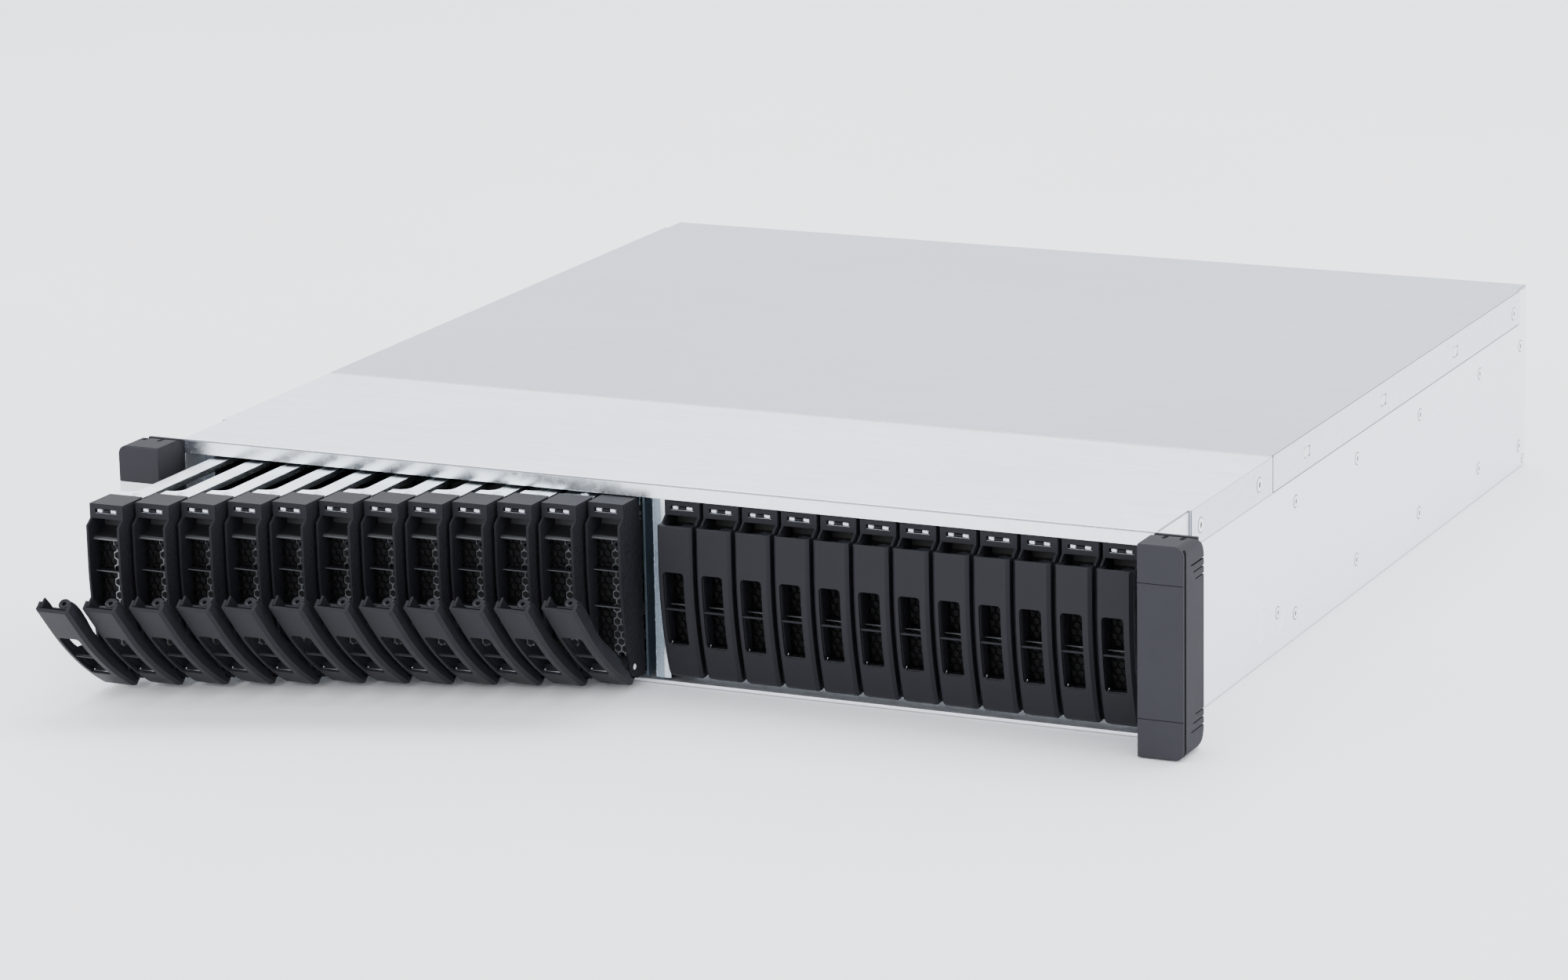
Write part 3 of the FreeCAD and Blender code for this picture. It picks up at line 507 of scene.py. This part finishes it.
def lever_form():
    """The curved pull lever with its hook and spring: material 0 black, 1 spring steel."""
    def straight(points):
        """Points of the bent lever, before the bend."""
        return [(y - bend(z), z) for y, z in points]
    half = 7.7
    outline = [(FACE + 0.6, 71.2), (FACE, 70.7), (FACE, 6.2), (FACE + 0.5, 5.2), (FACE + 1.6, 4.6)]
    hub = arc(PIVOT_Y, PIVOT_Z, 4.85, 247, 150)
    outline += straight([(hub[0][0], 4.6)] + hub)
    outline += [(FACE + 4.7, 16), (FACE + 4.7, 71.2)]
    body = Form().prism(outline, "x", -half, half)
    section = [(-half, 30), (-half, FACE + 0.8), (-6.9, FACE), (6.3, FACE), (half, FACE + 1.3), (half, 30)]
    front = [(-half, 90), (-half, 8.2), (-7.3, 6.5), (-6.4, 5.2), (-5.0, 4.6), (6.6, 4.6), (7.4, 4.95),
             (half, 5.7), (half, 90)]
    body = body.kept(Form().prism(section, "z", 0, 100), Form().prism(front, "y", -40, 40))
    channel = [(-6.4, FACE + 1.5), (5.9, FACE + 1.5), (6.4, FACE + 2.0), (6.4, 30), (-6.4, 30)]
    body = body.carved(Form().prism(channel, "z", 16, 100),
                       Form().prism(rounded(-5.5, 3.9, 19.5, 51.7, 1.5), "y", -14, FACE + 3))
    shelf = Form().box((-0.6, 5.6), (FACE + 2.15, FACE + 2.8), (64.0, 71.0))
    middle = (3.6, FACE + 5.2)
    plate = [(6.5, FACE + 2.4)] + arc(*middle, 2.5, 285, 60, 14) + [(6.5, FACE + 6.6)]
    web = Form().prism(plate, "z", 69.5, 70.5).softened(0.15, 1, 50)
    web = web.carved(Form().rod("z", *middle, 1.5, 69, 72, sides=28))
    profile = ((2.3, 69.0), (2.3, 70.6), (2.15, 70.75), (1.6, 70.75), (0.95, 70.3), (0.95, 69.2))
    collar = Form().turned("z", *middle, profile, sides=28)
    form = body.softened(0.3, 2)
    form.add(shelf.softened(0.12, 1)).add(web).add(collar)
    form.add(Form().box((-5.8, 4.2), (FACE + 0.45, FACE + 1.4), (35.05, 35.95)).softened(0.12, 1))
    for side, line in ((-1, LEFT_WING), (1, RIGHT_WING)):
        wing = [(FACE + 2.0, 14.0), (FACE + 2.0, 71.0)] + [(FACE + depth, z) for z, depth in line]
        form.add(Form().prism(wing, "x", *sorted((side * 5.6, side * 6.55))).softened(0.2, 1))
    for step in range(17):
        form.sliced(2, 8 + 3 * step)
    bent(form)
    form.add(bent(Form().box((-5.6, 4.0), (FACE + 1.7, FACE + 4.6), (18.9, 19.6))))
    tick = [(-5.0, 19.5), (-4.7, 19.5), (-4.0, 21.0), (-4.3, 21.1)]
    spring = Form().prism(tick, "y", FACE + 1.2, FACE + 1.6)
    spring.add(Form().box((-4.6, 3.4), (FACE + 1.2, FACE + 1.4), (19.45, 19.62)))
    form.add(bent(spring), 1)
    hook = [(-0.5, 12.8), (8.9, 12.8)] + arc(PIVOT_Y, PIVOT_Z, 1.31, 60, 300, 14) + [(7.8, 5.9), (3.3, 5.5)]
    form.add(Form().prism(hook, "x", -6.5, 6.5).softened(0.15, 1))
    return form


def opened(form):
    """A lever form turned about its hinge to the open position."""
    turn = Matrix.Rotation(math.radians(OPEN_ANGLE), 3, "X")
    pivot = Vector((0, PIVOT_Y, PIVOT_Z))
    return Form().add(form).moved(lambda x, y, z: pivot + turn @ (Vector((x, y, z)) - pivot))


def rail_form():
    """Pressed steel rails over and under the drive, with a wide foot: material 0 rail, 1 its screw."""
    top = [(-7.2, MOULD_END), (7.2, MOULD_END), (7.2, TRAY_END), (-0.8, TRAY_END), (-0.8, 27.0), (-1.6, 24.6),
           (-3.6, 23.2), (-7.2, 22.6)]
    form = Form().prism(top, "z", 78.6, 79.4)
    form.add(Form().box((6.4, 7.2), (MOULD_END, TRAY_END), (76.8, 79.0)))
    form.add(Form().box((-0.8, 0.0), (27.0, TRAY_END), (77.4, 79.0)))
    for x, z in (((-7.2, 7.2), (4.1, 5.0)), ((6.4, 7.2), (4.6, 6.6)), ((-7.2, -6.4), (4.6, 6.6))):
        form.add(Form().box(x, (MOULD_END, TRAY_END), z))
    form = form.softened(0.2, 2)
    head = ((1.9, 79.3), (1.9, 79.55), (1.5, 79.75), (0.7, 79.75), (0.5, 79.45))
    return form.turned("z", 2.0, 19.6, head, 1)


def grille_form():
    """Perforated sheet behind the lever, black on the left and bare steel on the right, with a near-black
    backing of painted shade; the steel faces are painted darker than their rims as shade.

    Material 0 steel rim, 1 black sheet, 2 painted shade black, 3 steel sheet painted darker as shade.
    """
    low, high, split, pitch = 14.6, 64.0, 0.35, 3.3
    form = hexagons(-IN, split, low, high, pitch, 0.7, 3.4, 4.0, 1, 1)
    form.add(hexagons(split, IN, low, high, pitch, 0.55, 3.0, 3.9, 3, 0))
    # The backing is a near-black sheet of painted shade behind the grille.
    return form.box((-IN, IN), (6.5, 7.0), (low, high), 2)


def carriers():
    """Bezel, rails, grille and lever of each carrier; all carriers share their meshes."""
    lever = lever_form()
    meshes = {
        "bezel": bezel_form().mesh("bezel", (BLACK, PIPE, PIN, SHADE_BLACK, SCREW, LIT)),
        "closed": lever.mesh("closed_lever", (LEVER, SCREW)),
        "open": opened(lever).mesh("open_lever", (LEVER, SCREW)),
        "rails": rail_form().mesh("rails", (BRIGHT, SCREW)),
        "grille": grille_form().mesh("grille", (MESH, MESH_DARK, SHADE_BLACK, MESH_FACE_SHADED), smooth=20),
    }
    for number in range(1, CARRIERS + 1):
        body = "tray_%02d" % number
        low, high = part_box("drive_tray_%02d" % number)
        place = Matrix.Translation(((low.x + high.x) / 2, high.y - TRAY_END * MM, 0))
        bezel = piece("bezel_%02d" % number, meshes["bezel"], body, place)
        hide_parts("drive_tray_%02d" % number)
        piece("rails_%02d" % number, meshes["rails"], body, place)
        piece("grille_%02d" % number, meshes["grille"], body, place)
        # A lever whose hinge also turns the other way stands open at rest.
        state = "open" if JOINTS["lever_hinge_%02d" % number]["range_deg"][0] < -1 else "closed"
        skin = piece("lever_%02d_skin" % number, meshes[state], "lever_%02d" % number, place)
        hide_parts("tray_lever_%02d" % number)


# ---------------------------------------------------------------- steelwork

def dress(node, *materials, bevel=0.3, fold=False):
    """A carried-over CAD node: new materials and rounded edges, whose material is the last one for a fold,
    where the covers' dark painted shade goes.

    Gives back the node's faces.
    """
    item = NODES[node]
    item.data.materials.clear()
    for material in materials:
        item.data.materials.append(material)
    weld = item.modifiers.new("weld", "WELD")
    weld.merge_threshold = 0.00002
    soft = item.modifiers.new("soft", "BEVEL")
    soft.width = bevel * MM
    soft.segments = 2
    soft.limit_method = "ANGLE"
    soft.angle_limit = math.radians(30)
    soft.harden_normals = True
    if fold:
        soft.material = len(materials) - 1
    return item.data.polygons


def steelwork():
    """Looks of the CAD nodes that the scene keeps."""
    # The pan's flanges, which carry the ears, are as grey as the ears.
    for face in dress("chassis_pan", WALL_STEEL, EAR, bevel=0.4):
        face.material_index = 1 if abs(face.center.x) > (WALL + 0.9) * MM else 0
    # The covers' rounded folds are painted dark as shade. The rear cover's top is painted darker than its
    # sides, as painted shade; the sides are as light as the front cover.
    dress("front_cover", FRONT_TOP, FOLD_SHADE, bevel=0.8, fold=True)
    for face in dress("rear_cover", REAR_TOP_SHADED, FRONT_TOP, FOLD_SHADE, bevel=0.8, fold=True):
        face.material_index = 1 if abs(face.normal.z) < 0.5 else 0
    # The centre post is dark on the left of its seam and galvanised on the right; the bays are painted
    # near-black inside as shade.
    post, seam, bays, roof = 5.4, -1.1, 20.0, 80.0
    for face in dress("drive_cage", BRIGHT, POST, SPANGLE, SHADE_BLACK, bevel=0.15):
        x, y, z = face.center / MM
        if abs(x) < post and 3.0 < z < 84.5:
            face.material_index = 1 if x < seam else 2
        elif y > bays and z < roof:
            face.material_index = 3
    dress("midplane_board", BOARD, bevel=0.1)
    # Handles and ribs behind the modules' faces are black; the insides of their openings are painted
    # near-black as shade.
    inset, depth = 2.0, 470.0
    for name in SUPPLIES + INTERFACES:
        faces = dress(name, MODULE, BLACK, SOCKET_AND_SHADE)
        low, high = (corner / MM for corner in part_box(name))
        for face in faces:
            x, y, z = face.center / MM
            if y > REAR + 0.1:
                face.material_index = 1
            elif (depth < y < REAR - 0.1 and low.x + inset < x < high.x - inset
                  and low.z + inset < z < high.z - inset):
                face.material_index = 2


# ---------------------------------------------------------------- rear modules

def ring(form, across, up, inner, outer, near, far):
    """A flat ring that looks to the rear."""
    tool = Form().rod("y", across, up, inner, near - 1, far + 1, sides=40)
    form.add(Form().rod("y", across, up, outer, near, far, sides=40).carved(tool))


def border(form, left, right, low, high):
    """A bright border round an opening of the rear."""
    width, near, far = 0.9, REAR - 0.3, REAR + 0.7
    tool = Form().box((left, right), (near - 1, far + 1), (low, high))
    rim = Form().box((left - width, right + width), (near, far), (low - width, high + width))
    form.add(rim.carved(tool).softened(0.15, 1))


def supply_details(name):
    """Fan with its wire guard, power inlet, status lights and touch point of a supply module.

    Material 0 bright, 1 black, 2 status light, 3 touch point.
    """
    low, high = (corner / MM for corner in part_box(name))
    form = Form()
    fan_x, fan_z = high.x - 30, low.z + 50
    hub = ((7.5, 480.2), (7.5, 483.6), (6.8, 484.2), (1.0, 484.2))
    form.turned("y", fan_x, fan_z, hub, 1, sides=32)
    for blade in range(7):
        turn = math.tau * blade / 7
        corners = [(7.0, turn - 0.22), (17.8, turn + 0.05), (17.8, turn + 0.62), (7.0, turn + 0.36)]
        outline = [(fan_x + reach * math.cos(angle), fan_z + reach * math.sin(angle))
                   for reach, angle in corners]
        form.prism(outline, "y", 481.0, 482.4, 1)
    for radius in (4.6, 8.6, 12.6, 16.6):
        ring(form, fan_x, fan_z, radius - 0.5, radius + 0.5, REAR - 1.6, REAR - 0.6)
    ring(form, fan_x, fan_z, 18.6, 20.6, REAR - 0.2, REAR + 0.5)
    for turn in (45, 135):
        along, over = math.cos(math.radians(turn)), math.sin(math.radians(turn))
        wire = [(fan_x + reach * along - wide * over, fan_z + reach * over + wide * along)
                for reach, wide in ((-19.4, -0.5), (19.4, -0.5), (19.4, 0.5), (-19.4, 0.5))]
        form.prism(wire, "y", REAR - 0.7, REAR + 0.3)
    left, bottom = low.x + 14, low.z + 12
    opening = [(left + 2.0, bottom + 2.0), (left + 25.4, bottom + 2.0), (left + 25.4, bottom + 13.4),
               (left + 21.2, bottom + 17.8), (left + 6.2, bottom + 17.8), (left + 2.0, bottom + 13.4)]
    shell = Form().box((left + 0.1, left + 27.3), (472.0, REAR + 0.6), (bottom + 0.1, bottom + 19.7))
    form.add(shell.carved(Form().prism(opening, "y", 474.0, 490.0)).softened(0.3, 2), 1)
    for across, up in ((6.7, 8.0), (20.7, 8.0), (13.7, 12.0)):
        x, z = left + across, bottom + up
        form.box((x - 1.0, x + 1.0), (473.5, 485.0), (z - 2.0, z + 2.0))
    for up in (58.0, 64.0):
        form.rod("y", low.x + 52.5, low.z + up, 1.5, REAR - 0.5, REAR + 0.5, 2)
    touch = Form().box((low.x + 4.5, low.x + 8.5), (REAR - 0.5, REAR + 8.0), (low.z + 44, low.z + 56))
    form.add(touch.softened(0.8, 2), 3)
    fitting(name + "_details", form, (SCREW, SOCKET_AND_SHADE, STATUS, TOUCH), name + "_body")


def interface_details(name):
    """Port cages with their contact tongues, status lights, vents and touch point of an interface module.

    Material 0 bright, 1 black, also painted shade in the vents, 2 status light, 3 touch point, 4 white
    tongue.
    """
    low, high = (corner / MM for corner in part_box(name))
    middle = (low.z + high.z) / 2
    form = Form()
    for left, wide, tall, paired in ((-36.0, 19.4, 9.6, True), (-6.0, 19.4, 9.6, True),
                                     (24.0, 12.6, 9.0, False)):
        bottom, top = middle - tall / 2, middle + tall / 2
        border(form, left, left + wide, bottom, top)
        if paired:
            centre = left + wide / 2
            form.box((centre - 0.35, centre + 0.35), (475.5, REAR - 1.5), (bottom, top))
            for place in (0.27, 0.73):
                tongue = left + wide * place
                form.box((tongue - 3.4, tongue + 3.4), (475.5, REAR - 3.0), (middle - 0.6, middle + 0.6), 1)
        else:
            form.box((left + 2.0, left + wide - 2.0), (475.5, REAR - 1.5), (middle - 0.5, middle), 4)
        for place in (0.2, 0.8):
            form.rod("y", left + wide * place, middle + 8.6, 0.9, REAR - 0.5, REAR + 0.3, 2, sides=14)
    # The vents are dark discs on the face: painted shade in place of holes.
    for column in range(9):
        for row in range(3):
            up = middle - 10.5 + 2.7 * row + 1.35 * (column % 2)
            for start in (44.5, -68.0):
                form.rod("y", start + 3.1 * column, up, 0.95, REAR - 0.3, REAR + 0.04, 1, sides=10)
    touch = Form().box((-2.5, 4.5), (REAR - 0.5, REAR + 4.0), (high.z - 4.2, high.z - 1.6))
    form.add(touch.softened(0.5, 2), 3)
    fitting(name + "_details", form, (SCREW, SOCKET_AND_SHADE, STATUS, TOUCH, PIPE), name + "_body")


def rear_details():
    """What is behind and on the modules' faces, and the screws of the rear corners."""
    for name in SUPPLIES:
        supply_details(name)
    for name in INTERFACES:
        interface_details(name)
    form = Form()
    for across in (-219.5, 219.5):
        for up in (8.0, 78.0):
            screw(form, "y", across, up, 486.0, 1, 2.0)
    fitting("rear_screws", form, (HEAD, SOCKET_AND_SHADE))


# ---------------------------------------------------------------- fixings and pressings

# Screws of each side wall and of the cover skirts: distance behind the rack plane, height, radius.
WALL_SCREWS = ((161.0, 59.7, 2.5), (240.5, 59.7, 2.5), (327.0, 59.7, 2.5), (414.5, 59.4, 2.5),
               (477.0, 59.1, 2.5), (161.0, 10.8, 2.5), (240.5, 14.3, 2.5), (327.0, 14.3, 2.5),
               (414.5, 14.3, 2.5), (477.0, 10.7, 2.5), (483.2, 3.0, 1.9), (139.0, 16.8, 2.4))
SKIRT_SCREWS = ((44.0, 78.3, 2.9), (113.0, 78.4, 2.9), (462.5, 77.8, 2.7))


def screw(form, axis, across, up, plane, out, radius):
    """A countersunk screw in its seat: material 0 head, 1 painted shade, a dark ring round the head and a
    dark recess in it. Out is the sign of the way it looks.
    """
    seat = ((radius + 0.45, -0.2), (radius + 0.45, 0.03))
    head = ((radius, -0.2), (radius, 0.14), (radius - 0.3, 0.3), (radius * 0.52, 0.3), (radius * 0.46, 0.06))
    recess = ((radius * 0.45, 0.0), (radius * 0.45, 0.1))
    # The seat ring and the recess are dark: painted shade round and in the head.
    for profile, material in ((seat, 1), (head, 0), (recess, 1)):
        form.turned(axis, across, up, [(reach, plane + out * offset) for reach, offset in profile], material)


def pressing(form, side, low, high, height):
    """A pressed relief on a side wall: a fine grid raised by height(along, up) in millimetres."""
    step = 0.5
    columns = int((high[0] - low[0]) / step) + 1
    rows = int((high[1] - low[1]) / step) + 1
    grid = []
    for i in range(columns + 1):
        along = low[0] + (high[0] - low[0]) * i / columns
        line = []
        for j in range(rows + 1):
            up = low[1] + (high[1] - low[1]) * j / rows
            rise = 0 if i in (0, columns) or j in (0, rows) else height(along, up)
            line.append(form.bm.verts.new((side * (WALL - 0.05 + rise), along, up)))
        grid.append(line)
    for i in range(columns):
        for j in range(rows):
            corners = (grid[i][j], grid[i + 1][j], grid[i + 1][j + 1], grid[i][j + 1])
            form.bm.faces.new(corners if side > 0 else corners[::-1])


def swell(distance, width):
    """A soft bump: 1 at no distance, and close to 0 at twice the width."""
    return math.exp(-(distance / width) ** 2)


def keyhole(along, up):
    """Two round hollows joined by a neck, each with a soft rim."""
    rise = min(max((up - 12.0) / 9.0, 0.0), 1.0)
    far = math.hypot(along - (116.5 + 3.5 * rise), up - (12.0 + 9.0 * rise))
    return 0.55 * swell(far - 3.0 + 1.1 * math.sin(math.pi * rise), 0.9)


def crescent(along, up):
    """A curved ridge behind a screw."""
    from_screw, over_screw = along - 138.5, up - 16.8
    reach = swell(max(abs(math.atan2(over_screw, from_screw) + 0.1) - 1.0, 0.0), 0.3)
    return 0.55 * reach * swell(math.hypot(from_screw, over_screw) - 8.2, 1.0)


def side_fixings():
    """Screws and pressed reliefs of both sides."""
    for side, name in ((-1, "left"), (1, "right")):
        form = Form()
        for along, up, radius in WALL_SCREWS:
            screw(form, "x", along, up, side * WALL, side, radius)
        for along, up, radius in SKIRT_SCREWS:
            screw(form, "x", along, up, side * SKIRT, side, radius)
        fitting("side_screws_" + name, form, (HEAD, SOCKET_AND_SHADE))
        relief = Form()
        pressing(relief, side, (109.0, 4.5), (127.0, 28.5), keyhole)
        pressing(relief, side, (136.0, 5.0), (150.0, 28.5), crescent)
        fitting("side_pressings_" + name, relief, (WALL_STEEL,))


def skirt_shadows_and_keys():
    """A painted shadow, a dark strip under each cover skirt, and the white keys in the slots of the rear
    skirt.
    """
    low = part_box("rear_cover")[0].z / MM
    for side, name in ((-1, "left"), (1, "right")):
        # A near-black strip under the skirt: painted shadow in the step to the wall.
        shadow_strip = Form()
        for node in ("front_cover", "rear_cover"):
            near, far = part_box(node)
            shadow_strip.box(sorted((side * (WALL - 0.1), side * (SKIRT - 0.35))),
                    (near.y / MM + 0.5, min(far.y / MM, 471.5)), (low - 0.5, low + 0.4))
        fitting("skirt_painted_shadow_" + name, shadow_strip, (SHADE_BLACK,))
        keys = Form()
        for along in (172.0, 272.4, 374.0):
            shape = [(along - 3.2, 77.5), (along - 1.6, 76.5), (along + 1.6, 76.5), (along + 3.2, 77.5),
                     (along + 3.2, 79.9), (along + 1.6, 80.9), (along - 1.6, 80.9), (along - 3.2, 79.9)]
            keys.prism(shape, "x", *sorted((side * (SKIRT - 0.9), side * (SKIRT - 0.15))))
        fitting("skirt_keys_" + name, keys, (WHITE,))


def small_steel():
    """Light edges of the centre post; near-white strips as painted highlights along the cover joint and the
    front cover's front edge; and the front cover's dimples.
    """
    half_width = 222.7
    trim = Form().box((2.7, 5.6), (1.95, 2.3), (3.0, 84.4)).softened(0.1, 1)
    trim.add(Form().box((-1.02, -0.75), (2.05, 2.3), (3.0, 84.4)))
    fitting("post_trim", trim, (BRIGHT,))
    # A near-white strip at the rear cover's front edge: painted highlight on its cut edge.
    edge = Form().box((-half_width, half_width), (129.5, 129.8), (85.9, 86.95))
    fitting("joint_edge_painted_highlight", edge, (CUT_EDGE_HIGHLIGHT,))
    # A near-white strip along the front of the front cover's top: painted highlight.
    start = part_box("front_cover")[0].y / MM
    front = Form().box((-half_width, half_width), (start + 0.6, start + 1.5), (86.4, TOP_FRONT + 0.06))
    fitting("front_edge_painted_highlight", front, (CUT_EDGE_HIGHLIGHT,))
    dimples = Form()
    profile = [(reach, TOP_FRONT + rise)
               for reach, rise in ((3.8, -0.05), (3.3, 0.1), (2.7, 0.12), (2.2, 0.03), (0.8, 0.02))]
    for across in (-186.0, -64.0, 55.0, 175.0):
        dimples.turned("z", across, 96.5, profile, sides=28)
    fitting("cover_dimples", dimples, (FRONT_TOP,))


# ---------------------------------------------------------------- ears

def ear_form(side):
    """Moulded ear: middle plate between two joints, side channel, six finger grooves, two latch notches."""
    inner, corner, outer, beyond, top = 222.0, 237.5, 241.3, 243.0, 87.0
    profile = [(0.0, 9.0)] + arc(-9.0, 9.0, 9.0, -10, -90, 9)
    profile += [(-22.4, 0.0), (-23.0, 0.6), (-23.0, 86.4), (-22.4, top)] + arc(-9.0, 78.0, 9.0, 90, 0, 9)
    shell = Form().prism(profile, "x", *sorted((side * inner, side * outer)))
    front = [(side * inner, 0.0)] + [(side * (corner + x), z) for x, z in arc(0.0, 3.8, 3.8, -90, 0, 7)]
    front += [(side * (corner + x), z) for x, z in arc(0.0, 83.2, 3.8, 0, 90, 7)] + [(side * inner, top)]
    shell = shell.kept(Form().prism(front, "y", -30, 10))
    hollow = [(-21.2, 1.8)] + arc(-9.0, 9.0, 7.2, 270, 360, 8)
    hollow += [(-1.8, 9.0), (2.0, 9.0), (2.0, 78.0), (-1.8, 78.0)]
    hollow += arc(-9.0, 78.0, 7.2, 0, 90, 8) + [(-21.2, 85.2)]
    cavity = Form().prism(hollow, "x", *sorted((side * 223.0, side * 239.5)))
    relief = Form().box(sorted((side * 220.0, side * 239.5)), (-2.0, 2.0), (-2.0, 90.0))
    shell = shell.carved(cavity, relief).softened(0.45, 3)
    cuts = []
    for joint in (16.0, 71.3):
        cuts.append(Form().box(sorted((side * 221.0, side * beyond)), (-24.0, -22.2),
                               (joint - 0.14, joint + 0.14)))
    channel = rectangle(-21.9, -19.7, 1.6, 85.4)
    cuts.append(Form().prism(channel, "x", *sorted((side * 240.1, side * beyond))))
    for level, longest in ((71.3, 2), (9.6, 0)):
        for step in range(3):
            low, start = level + 3.2 * step, -14.4 + 2.5 * abs(step - longest)
            cuts.append(Form().prism(rounded(start, 2.0, low - 0.3, low + 0.3, 0.28, 3), "x",
                                     *sorted((side * 240.7, side * beyond))))
    for middle in (228.6, 236.0):
        notch = rounded(side * middle - 1.0, side * middle + 1.0, -11.6, 3.0, 0.95, 6)
        cuts.append(Form().prism(notch, "z", 84, 90))
    return shell.carved(*cuts)


def ears():
    """Both ears: grey, with a white middle plate on the left one and a side channel painted near-black as
    shade.
    """
    for side, name in ((-1, "left_ear"), (1, "right_ear")):
        form = ear_form(side)
        for face in form.bm.faces:
            middle = face.calc_center_median()
            if side < 0 and middle.y < -22.5 and 16.2 < middle.z < 71.1:
                face.material_index = 1
            # The side channel's faces are painted near-black: painted shade in the groove.
            if 239.8 < abs(middle.x) < 240.9 and -21.95 < middle.y < -19.6:
                face.material_index = 2
        skin = fitting(name + "_skin", form, (EAR, WHITE, SHADE_BLACK))
        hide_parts(name)


# ---------------------------------------------------------------- studio

def studio():
    """White floor, a bright sky that darkens upwards, and three soft lights."""
    scene = bpy.context.scene
    floor = bpy.data.meshes.new("floor")
    floor.from_pydata([(x, y, 0) for x, y in rectangle(-6, 6, -6, 6)], [], [(0, 1, 2, 3)])
    ground = bpy.data.objects.new("floor", floor)
    ground.location.z = -0.0005
    scene.collection.objects.link(ground)
    finish = Finish("floor_white", Roughness=0.6)
    finish.paint(finish.noise(3), (0.93, 0.93, 0.94), (0.97, 0.97, 0.98))
    floor.materials.append(finish.material)

    world = bpy.data.worlds.new("studio")
    scene.world = world
    world.use_nodes = True
    tree = world.node_tree
    tree.nodes["Background"].inputs["Strength"].default_value = 3.4
    place = tree.nodes.new("ShaderNodeTexCoord")
    height = tree.nodes.new("ShaderNodeSeparateXYZ")
    sky = tree.nodes.new("ShaderNodeValToRGB")
    for index, (level, colour) in enumerate(((0.35, (0.96, 0.97, 1.0, 1)), (0.75, (0.50, 0.52, 0.56, 1)))):
        stop = sky.color_ramp.elements[index]
        stop.position, stop.color = level, colour
    tree.links.new(place.outputs["Generated"], height.inputs["Vector"])
    tree.links.new(height.outputs["Z"], sky.inputs["Fac"])
    tree.links.new(sky.outputs["Color"], tree.nodes["Background"].inputs["Color"])

    def area(name, place, target, wide, high, power):
        data = bpy.data.lights.new(name, "AREA")
        data.shape = "RECTANGLE"
        data.size, data.size_y = wide, high
        data.energy = power
        item = bpy.data.objects.new(name, data)
        item.location = place
        item.rotation_euler = (Vector(target) - Vector(place)).to_track_quat("-Z", "Y").to_euler()
        scene.collection.objects.link(item)

    area("soft_top", (0.1, 0.9, 2.3), (0, 0.1, 0), 2.4, 1.6, 60)
    area("soft_front", (-0.8, -2.2, 1.3), (0, 0, 0.05), 1.6, 1.2, 12)
    area("soft_right", (2.3, 0.2, 0.9), (0.2, 0.2, 0.04), 1.4, 1.0, 3)


def camera():
    """A long lens, 25 degrees to the right of the front and 14 degrees up."""
    turn, rise, roll = math.radians(25.0226), math.radians(14.302), math.radians(-1.1222)
    back = Vector((math.sin(turn) * math.cos(rise), -math.cos(turn) * math.cos(rise), math.sin(rise)))
    right = (-back).cross(Vector((0, 0, 1))).normalized()
    up = right.cross(-back)
    across = right * math.cos(roll) + up * math.sin(roll)
    above = up * math.cos(roll) - right * math.sin(roll)
    data = bpy.data.cameras.new("camera")
    data.sensor_width = 36.0
    data.lens = 124.2198
    data.clip_end = 50
    item = bpy.data.objects.new("camera", data)
    item.matrix_world = Matrix.Translation((0.960136, -1.928634, 0.631255)) @ Matrix(
        (across, above, back)).transposed().to_4x4()
    bpy.context.scene.collection.objects.link(item)
    bpy.context.scene.camera = item


camera()
studio()
carriers()
steelwork()
side_fixings()
skirt_shadows_and_keys()
rear_details()
small_steel()
ears()
